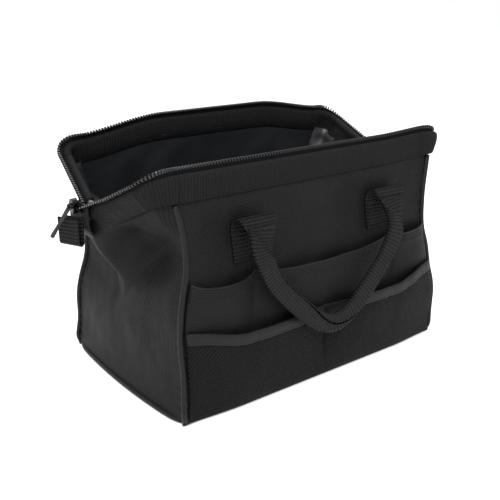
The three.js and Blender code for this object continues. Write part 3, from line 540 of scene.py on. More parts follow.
def stitch_row(name, points, up_hint):
    """A row of thread stitches along a path, with small spaces between."""
    bars, faces = [], []
    walked, due = 0.0, STITCH_PITCH / 2
    for k in range(1, len(points)):
        start, end = points[k - 1], points[k]
        step = (end - start).length
        while due <= walked + step and step > 0:
            middle = start.lerp(end, (due - walked) / step)
            tangent = (end - start).normalized()
            across = tangent.cross(Vector(up_hint)).normalized()
            up = across.cross(tangent).normalized()
            add_block(bars, faces, [
                [middle + tangent * STITCH_LENGTH * share + (across * a + up * b) * THREAD_RADIUS * width
                 for a, b in ((1, 0), (0, 1), (-1, 0), (0, -1))]
                for share, width in ((-0.5, 0.5), (-0.3, 1.0), (0.3, 1.0), (0.5, 0.5))])
            due += STITCH_PITCH
        walked += step
    return link_mesh(name, bars, faces, [thread_finish])


print("stitch helpers ready")

# %% [markdown]
# ## Walls
# Each wall is one panel of woven polyester with the coated side inwards. It bellies slightly, hangs in soft
# waves under the band, and puckers along the piping where the seam gathers it. A cloth simulation could
# drape it, but it is sewn tight all round, so a formula for these few soft forms is quicker and gives the
# same cloth each time. The front wall has a little slack that is taken up when the mouth closes.

# %% Walls
STRIP_FOOT = 176
TURN_RADIUS = 4                 # the cloth turns in under the bag with this radius


def foot_swell(side, x, z):
    """The full pockets push the foot of the wall out between its corners."""
    edge = min(seam_x(RIGHT, z, side) - x, x + seam_x(LEFT, z, side))
    return (2 + 3.5 * smoothstep(edge, 0, 60)) * math.exp(-(max(z - 4, 0) / 28) ** 2)


def wall_out(side, x, z):
    """How far the cloth stands out from the wall's middle surface."""
    edge = min(seam_x(RIGHT, z, side) - x, x + seam_x(LEFT, z, side))
    pucker = 0.5 * math.sin(z / 1.5 + 2 * ripple(x, z, 4, 20)) * math.exp(-max(edge - 3, 0) / 6)
    calm = smoothstep(z, 8, 40) * smoothstep(edge, 0, 30)
    sag = 2.0 * ripple(x * 0.8, z, side * 7.3, 55) + 0.7 * ripple(x, z, side * 2.1, 22)
    slant = 1.6 * ripple((x + z) * 0.45, (z - x) * 1.1, side * 3.9, 34)
    foot = rail_height(side) - BAND_DROP
    under_band = 1.3 * ripple(x, z * 0.25, side * 5.5, 26) * math.exp(-abs(foot - z) / 22)
    turned_in = TURN_RADIUS - math.sqrt(max(0, TURN_RADIUS ** 2 - max(0, TURN_RADIUS + 0.4 - z) ** 2))
    fade = 1 - smoothstep(z, foot - 14, foot + 1)
    uneven = pucker + calm * (sag + slant + under_band)
    return CLOTH / 2 * fade + uneven * fade - turned_in + foot_swell(side, x, z)


def wall_point(side, x, z, out=0.0):
    lift = rail_lift(side, x) * smoothstep(z, 140, rail_height(side) - BAND_DROP)
    return (x, side * (wall_y(side, z) + wall_out(side, x, z) + out), z + lift)


for side in (FRONT, BACK):
    wall = SIDE_NAME[side] + "_wall"
    panel_top = rail_height(side) - BAND_DROP + 9

    def panel(u, v):
        z = lerp(0.5, 12, v / 0.12) if v < 0.12 else lerp(12, panel_top, (v - 0.12) / 0.88)
        x = lerp(-seam_x(LEFT, z, side), seam_x(RIGHT, z, side), u if side == FRONT else 1 - u)
        return wall_point(side, x, z)

    piece = grid(SIDE_NAME[side] + "_wall_cloth", panel, 110, 72, [polyester, lining], CLOTH)
    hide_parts(SIDE_NAME[side] + "_panel")
    if side == FRONT:
        top = Vector((0, side * wall_y(side, panel_top - 7), panel_top - 7)) * MM
        low = Vector((0, side * wall_y(side, STRIP_FOOT), STRIP_FOOT)) * MM
        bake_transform(piece)
    else:
        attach(piece, wall)
    print(piece.name, len(piece.data.vertices), "points")

# %% [markdown]
# ## Piping
# A cord wrapped in tape is sewn into each upright seam and along the foot of each end. It could be a
# rounded edge of the wall, but a tube of its own throws the thin shadows that mark a piped seam. It wanders
# slightly, because a hand-guided seam is never quite straight.

# %% Piping
END_BOW = 6                     # how far the middle of each end's foot bows out


def piping(name, points, up_hint, body, node):
    cord = sweep(name, frames_along(points, up_hint), ring(PIPING_RADIUS, 14), [piping_cover])
    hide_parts(node)
    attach(cord, body)


for side in (FRONT, BACK):
    top = rail_height(side) - BAND_DROP - 0.5
    for end in (LEFT, RIGHT):
        points = []
        for k in range(61):
            z = lerp(3, top, k / 60)
            tuck = 5 * (1 - smoothstep(z, 3, 14)) ** 2
            lift = rail_lift(side, end * SEAM_X) * smoothstep(z, 140, top)
            wander = 0.35 * math.sin(z / 7 + side + end)
            points.append(Vector((end * (seam_x(end, z, side) - tuck * 0.4 + wander),
                                  side * (wall_y(side, z) - tuck * 0.5 + 0.6 + foot_swell(side, end * 158, z)),
                                  z + lift)))
        name = SIDE_NAME[side] + "_" + END_NAME[end] + "_piping"
        piping(name + "_cord", points, (0, side, 0), SIDE_NAME[side] + "_wall", name)
for end in (LEFT, RIGHT):
    points = []
    for k in range(41):
        across = lerp(-1, 1, k / 40)
        bow = END_BOW * (1 - across ** 2) - 4 * abs(across) ** 14
        points.append(Vector((end * (seam_x(end, 4, FRONT) + bow), across * 99, PIPING_RADIUS + 0.5)))
    piping(END_NAME[end] + "_foot_cord", points, (0, 0, 1), "base", END_NAME[end] + "_bottom_piping")
print("piping done")

# %% [markdown]
# ## Pockets
# The upper pockets are one strip of cloth caught down at its seams, so each pocket stands out in a soft
# bulge and its hemmed top edge sags between the seams. The net below is gathered fuller, caught down at
# the middle, and its top edge is bound with tape. Pockets drawn on the wall would look flat from the side,
# so each layer is a sheet of its own that stands out from the wall, most between two seams.

# %% Pocket shapes
BINDING_HEIGHT = 10
POCKET_TOP, POCKET_SAG, POCKET_FOOT, POCKET_FULLNESS = 126, 6, 62, 8
MESH_TOP, MESH_END_RISE, MESH_FOOT, MESH_FULLNESS = 64, 12, 6, 8.5
POCKET_SEAMS = (-1, -0.54, 0.64, 1)
MESH_SEAMS = (-1, 0, 1)


def fullness(share, seams):
    """0 on a seam, 1 midway between two seams."""
    for low, high in zip(seams, seams[1:]):
        if share <= high:
            return math.sqrt(max(0.0, math.sin(math.pi * clamp((share - low) / (high - low)))))
    return 0.0


def rising(z, foot, top):
    return math.sin(clamp((z - foot) / (top - foot)) * math.pi / 2)


def pocket_top(share):
    """Each pocket's hemmed edge sags; the narrow right one is nearly straight."""
    sag = 2 if share > POCKET_SEAMS[2] else POCKET_SAG
    return POCKET_TOP + 2 * abs(share) ** 4 - sag * fullness(share, POCKET_SEAMS)


def mesh_top(share):
    return MESH_TOP + MESH_END_RISE * smoothstep(abs(share), 0.6, 1)


def pocket_stand(share, z):
    soft = 1 + 0.25 * ripple(share * 150, z, 3.3, 24)
    bulge = fullness(share, POCKET_SEAMS) * rising(z, POCKET_FOOT, pocket_top(share))
    return 0.8 + POCKET_FULLNESS * soft * bulge


def mesh_stand(share, z):
    behind = 2.0 * smoothstep(z, MESH_FOOT, POCKET_FOOT - 8)
    gather = 0.7 * ripple(share * 150, z * 0.4, 8.8, 13) * smoothstep(z, MESH_FOOT + 10, MESH_TOP)
    swell = MESH_FULLNESS * fullness(share, MESH_SEAMS) * rising(z, MESH_FOOT, mesh_top(share))
    return 0.8 + behind + swell + gather


def layer_point(side, share, z, stand):
    """A point of a pocket layer, which spans from one piping to the other."""
    x = share * (seam_x(RIGHT if share > 0 else LEFT, z, side) - PIPING_RADIUS - 1.5)
    return Vector((x, side * (wall_y(side, z) + CLOTH / 2 + stand + foot_swell(side, x, z)), z))


print("the middle pocket's edge sags to", round(pocket_top(0), 1), "mm")

# %% Pockets
for side in (FRONT, BACK):
    name, wall = SIDE_NAME[side], SIDE_NAME[side] + "_wall"

    def cloth_layer(u, v):
        share = side * (1 - 2 * u)
        z = lerp(POCKET_FOOT, pocket_top(share), v)
        hem = 0.5 * smoothstep(z, pocket_top(share) - 11, pocket_top(share) - 10)
        return layer_point(side, share, z, pocket_stand(share, z) + hem)

    pocket = grid(name + "_pocket_cloth", cloth_layer, 150, 26, [polyester, lining], 1.3, 1.0)
    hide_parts(name + "_cloth_pocket")
    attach(pocket, wall)

    def net_layer(u, v):
        share = side * (1 - 2 * u)
        z = lerp(MESH_FOOT, mesh_top(share) + 4, v)
        return layer_point(side, share, z, mesh_stand(share, z))

    net = grid(name + "_pocket_net", net_layer, 150, 26, [netting], 1.0, 1.0)
    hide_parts(name + "_mesh_pocket")
    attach(net, wall)

    def bound_edge(u, v):
        share = side * (1 - 2 * u)
        z = mesh_top(share) + 0.5 + BINDING_HEIGHT * v
        stand = max(pocket_stand(share, z) + 1.3, mesh_stand(share, mesh_top(share)))
        return layer_point(side, share, z, stand + 0.5 + 0.5 * math.sin(math.pi * v))

    tape = grid(name + "_net_binding", bound_edge, 150, 8, [binding], 1.8, 1.0)
    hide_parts(name + "_mesh_binding")
    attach(tape, wall)

    def along_pocket(z_of, stand_of):
        return [layer_point(side, s, z_of(s), stand_of(s)) for s in (-1 + 2 * k / 300 for k in range(301))]

    def over_binding(s, z):
        return max(pocket_stand(s, z) + 1.3, mesh_stand(s, mesh_top(s))) + 2.5

    rows = {
        "pocket_hem": along_pocket(lambda s: pocket_top(s) - 9,
                                   lambda s: pocket_stand(s, pocket_top(s) - 9) + 1.9),
        "binding_low": along_pocket(lambda s: mesh_top(s) + 1.8, lambda s: over_binding(s, mesh_top(s))),
        "binding_high": along_pocket(lambda s: mesh_top(s) + 8.6, lambda s: over_binding(s, mesh_top(s) + 8)),
    }
    rolled = along_pocket(lambda s: pocket_top(s) - 0.3, lambda s: pocket_stand(s, pocket_top(s)) + 1.2)
    edge = sweep(name + "_pocket_edge", frames_along(rolled, (0, side, 0)), ring(0.95, 8), [binding])
    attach(edge, wall)
    for row, points in rows.items():
        thread = stitch_row(name + "_" + row + "_stitches", points, (0, side, 0))
        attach(thread, wall)
    print(name, "pockets done")

# %% [markdown]
# ## The rim
# The wire of each side runs along the rail, round a bend and down an arm to the end hinge. The band, the
# corner cloths and the hems are all one sleeve over that wire: a strip folded over the top whose two
# lower edges are sewn together. Separate tubes would show where they meet, so the sleeve is described once,
# by the distance along the wire, and cut into pieces only where they move differently.

# %% The wire's path
CORNER_X, CORNER_BEND, HINGE_HEIGHT = 170, 18, 176
EYE_X = {FRONT: 192, BACK: 181}
BAND_HALF_LENGTH = 146


def arm(side):
    """End hinge, corner and directions of the arm at the right end; the left is its mirror."""
    eye = Vector((EYE_X[side], 0, HINGE_HEIGHT))
    corner = Vector((CORNER_X, side * RAIL_SPAN / 2, rail_height(side)))
    along = (corner - eye).normalized()
    out = (Vector((1, 0, 0)) - along * along.x).normalized()
    up = along.cross(out)
    if up.z < 0:
        up.negate()
    return eye, corner, along, out, up


def wire_path(side):
    """Points and running lengths of the right half, from the rail's middle to the end hinge."""
    eye, corner, along, _, _ = arm(side)
    bend_start = corner - Vector((CORNER_BEND, 0, 0))
    bend_end = corner - along * CORNER_BEND
    points = [Vector((0, corner.y, corner.z)), bend_start]
    for k in range(1, 25):
        t = k / 24
        points.append(bend_start * (1 - t) ** 2 + corner * 2 * t * (1 - t) + bend_end * t * t)
    points.append(eye)
    lengths = [0.0]
    for a, b in zip(points, points[1:]):
        lengths.append(lengths[-1] + (b - a).length)
    return points, lengths


WIRE = {side: wire_path(side) for side in (FRONT, BACK)}
BEND_END = {side: WIRE[side][1][-2] for side in (FRONT, BACK)}
WIRE_END = {side: WIRE[side][1][-1] for side in (FRONT, BACK)}


def wire_frame(side, distance):
    """Point, tangent, outward and upward directions at a signed distance from the rail's middle."""
    points, lengths = WIRE[side]
    s = min(abs(distance), lengths[-1] - 1e-4)
    k = max(i for i in range(len(lengths) - 1) if lengths[i] <= s)
    t = (s - lengths[k]) / (lengths[k + 1] - lengths[k])
    point = points[k].lerp(points[k + 1], t)
    ahead = min(k + 1, len(points) - 2)
    here = (points[k + 1] - points[k]).normalized()
    following = (points[ahead + 1] - points[ahead]).normalized()
    before = (points[k] - points[max(k - 1, 0)]).normalized() if k else here
    tangent = (before.lerp(here, 0.5).lerp(here.lerp(following, 0.5), t)).normalized()
    turned = smoothstep(s, BAND_HALF_LENGTH, BEND_END[side])
    up = Vector((0, 0, 1)).lerp(arm(side)[4], turned)
    up = (up - tangent * up.dot(tangent)).normalized()
    out = up.cross(tangent) * side
    if distance < 0:
        point, tangent, out, up = (Vector((-v.x, v.y, v.z)) for v in (point, tangent, out, up))
    return point, tangent, out, up, turned


print("wire is", round(2 * WIRE_END[FRONT]), "mm long in front")

# %% [markdown]
# The sleeve's cross section changes along the wire: on the rails it is the broad flat band, on the arms a
# hem that hangs inwards. Shares between the two give one smooth strip, without a joint that has to be hidden.

# %% The sleeve
SLEEVE_RADIUS, BAND_EDGE = 4.3, 3.2
HEM_FROM_EYE, HEM_DROP, HEM_INSET, HEM_EDGE = 24, 18, 11, 2.4


def sleeve(side, distance, v):
    """The folded strip: v runs from the outer lower edge over the wire to the inner lower edge."""
    point, _, out, up, turned = wire_frame(side, distance)
    band_foot = wall_y(side, rail_height(side) - BAND_DROP) - RAIL_SPAN / 2
    foot = lerp(band_foot, -HEM_INSET, turned)
    half = lerp(BAND_EDGE, HEM_EDGE, turned) / 2
    drop = lerp(BAND_DROP, HEM_DROP, turned)
    turn = clamp((v - 0.36) / 0.28) * math.pi
    fall = max(0.0, 1 - v / 0.36, (v - 0.64) / 0.36)
    edge = half if v < 0.5 else -half
    full = fall ** (3.2 if side == BACK and not turned else 1.8)
    puff = rim_puff(side, distance)
    outer = SLEEVE_RADIUS + (0.7 * puff if v < 0.5 else 0)
    a = lerp(outer * math.cos(turn), foot + edge + puff, full)
    b = lerp(SLEEVE_RADIUS * math.sin(turn), -drop, fall)
    size = lerp(17, 8, turned)
    wrinkle = lerp(0.4, 1.5, turned) * ripple(distance, v * 40 + distance * turned * 0.6, side * 3.7, size)
    soft = math.sin(math.pi * clamp(fall)) * wrinkle
    lift = Vector((0, 0, rail_lift(side, distance)))
    return point + lift + out * (a + soft * (1 if v < 0.5 else -1)) + up * b


print("lower edge of the front band at", round(sleeve(FRONT, 0, 0).z, 1), "mm")

# %% [markdown]
# The band is ribbed, the corners bend between the rail and the arm, and the hems on the arms are the plain
# wall cloth. Each piece is a stretch of the same sleeve, so neighbours end in the same line.

# %% Band, corners and hems
def sleeve_piece(name, side, start, end, columns, node, cloth):
    def surface(u, v):
        return sleeve(side, lerp(start, end, u if side == FRONT else 1 - u), v)
    piece = grid(name, surface, columns, 40, [cloth], 1.0, -1.0)
    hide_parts(node)
    return piece


def blend_corner(piece):
    """A corner piece is fixed in place where it is made, attached to no body."""
    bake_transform(piece)


for side in (FRONT, BACK):
    name = SIDE_NAME[side]
    rim = "front_rim" if side == FRONT else "back_wall"
    band = sleeve_piece(name + "_band_cloth", side, -BAND_HALF_LENGTH, BAND_HALF_LENGTH, 120,
                        name + "_band", ribbed_band)
    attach(band, rim)
    for end in (LEFT, RIGHT):
        label = name + "_" + END_NAME[end]
        near, far = sorted((end * BAND_HALF_LENGTH, end * (BEND_END[side] + 1)))
        corner = sleeve_piece(label + "_corner_cloth", side, near, far, 16, label + "_corner", ribbed_band)
        blend_corner(corner)
        near, far = sorted((end * (BEND_END[side] + 1), end * (WIRE_END[side] - HEM_FROM_EYE + 12)))
        hem = sleeve_piece(label + "_hem_cloth", side, near, far, 40, label + "_hem", polyester)
        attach(hem, name + "_frame")
    print(name, "rim done")

# %% [markdown]
# ## Zip
# A tape stands along the top of the sleeve with the teeth moulded onto its edge. A toothed texture would be
# lighter, but the rim is seen against white, where only real teeth give the fine broken outline. On the
# rails the tape leans in towards the other side; round the corners it turns to face outwards along the
# arms, so that the two runs lie together when the bag is closed.

# %% Zip
TOOTH_PITCH, TOOTH_LENGTH = 3.1, 1.7
RAIL_ZIP_LEAN, ARM_ZIP_TILT = -20, 72


def zip_line(side, distance, stand):
    """A point at a height on the zip's tape, with the tape's own directions."""
    point, tangent, out, up, turned = wire_frame(side, distance)
    tilt = math.radians(lerp(RAIL_ZIP_LEAN, ARM_ZIP_TILT, turned))
    rise = up * math.cos(tilt) + out * math.sin(tilt)
    lift = Vector((0, 0, rail_lift(side, distance)))
    return point + lift + rise * (SLEEVE_RADIUS - 0.6 + stand), tangent, rise, rise.cross(tangent).normalized()


def zip_run(name, side, start, end, crowding=1.0):
    """A run of tape and teeth; round a corner the teeth fan out, so they stand closer along the wire."""
    def surface(u, v):
        return zip_line(side, lerp(start, end, u), 4.4 * v)[0]
    tape = grid(name + "_tape", surface, max(8, int(abs(end - start) / 4)), 4, [zip_tape], 1.1, 0.0)
    points, faces = [], []
    count = int(abs(end - start) / TOOTH_PITCH * crowding)
    for k in range(count):
        middle, tangent, rise, face = zip_line(side, start + (k + 0.5) * (end - start) / count, 4.6)
        add_block(points, faces, [
            [middle + rise * height + tangent * a * length * TOOTH_LENGTH / 2 + face * b * width * 1.3
             for a, b in ((-1, -1), (1, -1), (1, 1), (-1, 1))]
            for height, length, width in ((-1.0, 0.8, 0.9), (0.3, 1.0, 1.0), (1.6, 1.0, 0.8), (2.3, 0.5, 0.4))])
    teeth = link_mesh(name + "_teeth", points, faces, [zip_teeth])
    teeth.data.polygons.foreach_set("use_smooth", [False] * len(teeth.data.polygons))
    return tape, teeth


for side in (FRONT, BACK):
    name = SIDE_NAME[side]
    rim = "front_rim" if side == FRONT else "back_wall"
    tape, teeth = zip_run(name + "_rail_zip", side, -BAND_HALF_LENGTH, BAND_HALF_LENGTH)
    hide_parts(name + "_zip_tape")
    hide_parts(name + "_zip_teeth")
    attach(tape, rim)
    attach(teeth, rim)
    for end in (LEFT, RIGHT):
        label = name + "_" + END_NAME[end]
        tape, teeth = zip_run(label + "_arm_zip", side, end * (BEND_END[side] + 1),
                              end * (WIRE_END[side] - HEM_FROM_EYE + 16))
        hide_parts(label + "_zip")
        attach(tape, name + "_frame")
        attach(teeth, name + "_frame")
        near, far = end * BAND_HALF_LENGTH, end * (BEND_END[side] + 1)
        for piece in zip_run(label + "_corner_zip", side, near, far, 1.4):
            blend_corner(piece)
    print(name, "zip done")

# %% [markdown]
# ## Ends
# Each end is one soft panel between the two walls. It hangs hollow below the hems, flares out to meet
# them, and creases towards the corners of the mouth. Simulated cloth creases by chance; hollows and creases
# that are placed one by one can follow the photograph. When the mouth closes the panel has to fold with
# both walls. It is cut along straight lines that share their points: the bottom stays with the base, and
# the upper parts are attached to no wall.

# %% Upper edge of an end
def hem_edge(side, distance, end=LEFT):
    """A point on the hem's lower edge at a distance from the end hinge, as if on the right end."""
    eye, _, along, out, up = arm(side)
    from_middle = end * (WIRE_END[side] - distance)
    lift = Vector((0, 0, rail_lift(side, from_middle)))
    return eye + along * distance + out * (rim_puff(side, from_middle) - HEM_INSET) - up * HEM_DROP + lift


def end_top(end, y):
    """Height and reach of the end panel's upper edge, which follows the hems."""
    side = FRONT if y < 0 else BACK
    near, far = hem_edge(side, HEM_FROM_EYE, end), hem_edge(side, 2 * HEM_FROM_EYE, end)
    share = (abs(y) - abs(near.y)) / (abs(far.y) - abs(near.y))
    return lerp(near.z, far.z, share), lerp(near.x, far.x, max(share, 0))


print("an end's upper edge is at", round(end_top(LEFT, -60)[0]), "mm, 60 mm in front of the hinge")

# %% [markdown]
# ### Hollows and creases
# The cloth below a hinge hangs straight down in a ridge, and sinks in on both sides of it. Each hollow is a
# soft dent and each crease a long groove that widens as it runs down.

# %% End panel shape
END_FOOT, END_FOLD = 4, 35      # heights of the cloth's foot and of the line that it folds on
END_BOW_FROM, END_BOW_TO, HOLLOW_DEPTH = 45, 150, 9
APEX = HINGE_HEIGHT - 8         # the cloth goes up behind the cover, and inside the sleeves' hems
SEAM_TOP = {side: rail_height(side) - 15 for side in (FRONT, BACK)}
NOSE = 185                      # reach of the cloth where it hangs straight down from the hinge cover
END_HOLLOWS = (                 # y and z of the middle, half width, half height, depth
    (-31, 165, 13, 16, 16), (-50, 178, 15, 9, 7), (42, 170, 14, 15, 12),
)
END_CREASES = (                 # y and z where a crease starts, its direction in degrees, length, depth
    (-26, 160, -62, 120, 2.4), (-40, 168, -48, 90, 1.8), (10, 140, -86, 90, 0.8),
    (26, 160, -110, 100, 1.6), (46, 170, -130, 70, 1.4),
)


def crease_depth(y, z):
    """Long soft creases that run down from the hollows under the hems."""
    total = 0.0
    for y0, z0, direction, length, depth in END_CREASES:
        angle = math.radians(direction)
        along = (y - y0) * math.cos(angle) + (z - z0) * math.sin(angle)
        aside = -(y - y0) * math.sin(angle) + (z - z0) * math.cos(angle)
        wide = 4 + 8 * clamp(along / length)
        fade = smoothstep(along, -8, 10) * (1 - smoothstep(along, 0.4 * length, length))
        total += depth * math.exp(-(aside / wide) ** 2) * fade
    return total


def end_edge(side, z):
    return wall_y(side, z) - 1.5


def end_x(end, y, z):
    """Reach of the end cloth: bowed at the foot, a ridge below the hinge and a deep hollow on either side."""
    side = FRONT if y < 0 else BACK
    u = clamp(abs(y) / end_edge(side, z))
    top, reach = end_top(end, y if y else 1e-6)
    v = clamp((z - END_FOOT) / (top - END_FOOT))
    ridge = math.exp(-((y - 6) / 27) ** 2)
    reach = lerp(reach, NOSE, ridge) + max(z - top, 0) * HEM_INSET / HEM_DROP
    halves = [seam_x(end, z, s) for s in (FRONT, BACK)]
    seam = lerp(halves[0], halves[1], smoothstep(y, -60, 60))
    bow = END_BOW * (1 - smoothstep(z, END_BOW_FROM, END_BOW_TO)) * (1 - u * u)
    flare = (reach - seam) * smoothstep(v, lerp(0.8, 0.5, ridge), 1) * smoothstep(1 - u, 0, 0.12)
    sunk = HOLLOW_DEPTH * math.sin(math.pi * smoothstep(v, 0.55, 1)) * math.sin(math.pi * u) * (1 - ridge)
    for y0, z0, wide, tall, depth in END_HOLLOWS:
        sunk += depth * math.exp(-((y - y0) / wide) ** 2 - ((z - z0) / tall) ** 2)
    sunk *= 1 - smoothstep(v, 0.93, 1)
    soft = 1.8 * ripple(y, z, end * 4.4, 38) + 0.6 * ripple(y, z, end * 9.1, 15) - crease_depth(y, z)
    pucker = 0.5 * math.sin(z / 1.5) * math.exp(-(1 - u) * end_edge(side, z) / 6)
    calm = smoothstep(1 - u, 0.0, 0.2) * smoothstep(v, 0.0, 0.15) * (1 - smoothstep(v, 0.9, 1))
    return end * (seam + bow + flare - sunk + pucker + calm * soft)


print("the right end's cloth stands", round(end_x(RIGHT, 0, 100)), "mm out at half height")

# %% [markdown]
# ### Triangles with shared sides
# A part of the panel is a triangle with straight sides. Cut into equal steps, it shares every point of a
# side with its neighbour, so no gap opens between them.

# %% Triangles with shared sides
def patch_cells(corners, steps):
    """Points of a triangle that is cut into steps along each side, and its small triangles."""
    points, index = [], {}
    for i in range(steps + 1):
        for j in range(steps + 1 - i):
            index[(i, j)] = len(points)
            a, b = i / steps, j / steps
            points.append(corners[0] * (1 - a - b) + corners[1] * a + corners[2] * b)
    faces = []
    for i in range(steps):
        for j in range(steps - i):
            faces.append((index[(i, j)], index[(i + 1, j)], index[(i, j + 1)]))
            if i + j + 2 <= steps:
                faces.append((index[(i + 1, j)], index[(i + 1, j + 1)], index[(i, j + 1)]))
    return points, faces


print("made helper: patch_cells")


# %% End panels
for end in (LEFT, RIGHT):
    for side in (FRONT, BACK):
        wall = SIDE_NAME[side] + "_wall"
        foot = Vector((side * end_edge(side, END_FOOT), END_FOOT))
        low = Vector((side * end_edge(side, END_FOLD), END_FOLD))
        high = Vector((side * end_edge(side, SEAM_TOP[side]), SEAM_TOP[side]))
        centre = [Vector((0, END_FOOT)), Vector((0, END_FOLD)), Vector((0, APEX))]
        layout = {
            "foot": ((foot, centre[0], centre[1]), None),
            "side": ((foot, centre[1], low), (0, 0, 1)),
            "upper": ((low, centre[1], high), (1, 0, 1)),
            "crown": ((centre[1], centre[2], high), (0, 0, 1)),
        }
        for part, (corners, weights) in layout.items():
            points, faces = patch_cells(corners, 40)
            lifted = []
            for p in points:
                y, z = p
                straight = lerp(abs(low.x), abs(high.x), clamp((z - END_FOLD) / (high.y - END_FOLD)))
                if z > END_FOLD:
                    y *= 1 + (end_edge(side, z) / straight - 1) * clamp(abs(y) / straight) ** 6
                lift = rail_lift(side, end * SEAM_X) * smoothstep(z, 140, SEAM_TOP[side])
                lifted.append(Vector((end_x(end, y, z), y, z + lift * clamp(abs(y) / straight))))
            inner = [p - Vector((end * CLOTH, 0, 0)) for p in lifted]
            count = len(points)
            name = "_".join((END_NAME[end], "end", SIDE_NAME[side], part))
            a, b, c = (lifted[i] for i in faces[0])
            flip = (b - a).cross(c - a).x * end < 0
            outer_faces = [tuple(reversed(f)) if flip else f for f in faces]
            inner_faces = [tuple(i + count for i in reversed(f)) for f in outer_faces]
            piece = link_mesh(name, lifted + inner, outer_faces + inner_faces, [polyester, lining])
            piece.data.polygons.foreach_set("material_index", [0] * len(faces) + [1] * len(faces))
            uv_layer = piece.data.uv_layers.new(name="UVMap")
            both = lifted + inner
            flat = [c * MM for f in outer_faces + inner_faces for i in f for c in (both[i].y, both[i].z)]
            uv_layer.data.foreach_set("uv", flat)
            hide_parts(END_NAME[end] + "_end_panel")
            if weights is None:
                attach(piece, "base")
            else:
                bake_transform(piece)
    print(END_NAME[end], "end done")

# %% [markdown]
# ## Handles
# The handle is 38 mm webbing. Each end is sewn flat on the wall, loops outwards and hangs down. On the way
# it is folded in half along its length: at the left end the outer half comes over the front, at the right
# end the inner half, so a cone opens under each loop and the seam of the two woven edges winds from the
# inner side of the curve over its front to the outer side. A flat strip that is bent and twisted would
# stretch, so each cross section is worked out from where its crease lies, which keeps the width the same.

# %% The handle's path
STRAP_HALF = 19
STRAP_X = {LEFT: 79, RIGHT: 85}
LOOP_ROOT, LOOP_RISE, LOOP_REACH = 166, 10, 22
HANDLE_HINGE_HEIGHT, HANDLE_DROP, HANDLE_LEAN = 168, 106, 5
HANDLE_LINE = (                 # shares of the half spacing and of the drop, from the loop to the middle
    (1.02, 0.18), (0.965, 0.35), (0.833, 0.52), (0.62, 0.695), (0.405, 0.85), (0.2, 0.957), (0, 1),
)


def smooth_line(points, steps):
    """A Catmull-Rom curve through the points."""
    made = []
    for k in range(len(points) - 1):
        p0, p1 = points[max(k - 1, 0)], points[k]
        p2, p3 = points[k + 1], points[min(k + 2, len(points) - 1)]
        for i in range(steps):
            t = i / steps
            made.append(0.5 * ((2 * p1) + (p2 - p0) * t + (2 * p0 - 5 * p1 + 4 * p2 - p3) * t * t
                               + (3 * p1 - p0 - 3 * p2 + p3) * t ** 3))
    return made + [points[-1]]


def handle_half(side, end):
    """Key points from the wall over the loop and down to the middle of the grip."""
    root = wall_y(side, LOOP_ROOT) + CLOTH / 2 + 1.3
    points = [Vector((end * STRAP_X[end], side * (root + 0.2), 160))]
    for k in range(7):
        turn = math.pi * k / 6
        points.append(Vector((end * STRAP_X[end], side * (root + LOOP_REACH * (1 - math.cos(turn)) / 2),
                              LOOP_ROOT + LOOP_RISE * math.sin(turn))))
    lean = math.radians(HANDLE_LEAN)
    for out_share, down_share in HANDLE_LINE:
        drop = down_share * HANDLE_DROP
        points.append(Vector((end * out_share * STRAP_X[end],
                              side * (root + LOOP_REACH + drop * math.sin(lean)),
                              HANDLE_HINGE_HEIGHT - drop * math.cos(lean))))
    return points


def handle_path(side):
    return smooth_line(handle_half(side, LEFT) + handle_half(side, RIGHT)[::-1][1:], 7)


front_path = handle_path(FRONT)
print("handle path", round(sum((b - a).length for a, b in zip(front_path, front_path[1:]))), "mm")

# %% The folded strap
STRAP_SAMPLES = [STRAP_HALF * k / 14 for k in range(-14, 15)]
FOLD_START, FOLD_END = 20, 68   # along the strap from its root, where the crease runs to the middle
CONE_RADIUS = {LEFT: 5.5, RIGHT: 9.0}
TUBE_RADIUS = 1.7
TUBE_ROUND = 39.6               # length once round the folded strap, a little more than the webbing's width


def creased(crease, radius, flap):
    """Cross section with the part beyond the crease brought over the front; flap is the end's side."""
    begin = crease - math.pi * radius / 2
    row = []
    for w in STRAP_SAMPLES:
        u = flap * w
        if u <= begin:
            a, n = u, -radius
        elif u <= begin + math.pi * radius:
            angle = (u - begin) / radius
            a, n = begin + radius * math.sin(angle), -radius * math.cos(angle)
        else:
            a, n = 2 * begin + math.pi * radius - u, radius
        row.append((flap * a, n))
    middle = flap * (STRAP_HALF - min(STRAP_HALF, begin + radius)) / 2
    return [(a + middle, n) for a, n in row]


def flat_tube(seam_share):
    """Cross section closed to a flat tube, its seam turned from the inner edge over the front."""
    straight = TUBE_ROUND / 2 - math.pi * TUBE_RADIUS
    row = []
    for w in STRAP_SAMPLES:
        q = (TUBE_ROUND / 2 * (1 - seam_share) - w) % TUBE_ROUND
        quarter = math.pi * TUBE_RADIUS / 2
        if q < quarter or q > TUBE_ROUND - quarter:
            angle = -(q if q < quarter else q - TUBE_ROUND) / TUBE_RADIUS
            a, n = straight / 2 + TUBE_RADIUS * math.cos(angle), TUBE_RADIUS * math.sin(angle)
        elif q < quarter + straight:
            a, n = straight / 2 - (q - quarter), -TUBE_RADIUS
        elif q < 3 * quarter + straight:
            angle = (q - quarter - straight) / TUBE_RADIUS
            a, n = -straight / 2 - TUBE_RADIUS * math.sin(angle), -TUBE_RADIUS * math.cos(angle)
        else:
            a, n = -straight / 2 + (q - 3 * quarter - straight), TUBE_RADIUS
        row.append((a, n))
    return row


print(len(STRAP_SAMPLES), "points across the webbing")

# %% [markdown]
# ### The strap's path of sections
# From each root the crease runs from the webbing's edge to its middle, and there the section closes to a
# flat tube. The shares between the two change smoothly, so the strap stays one sheet.

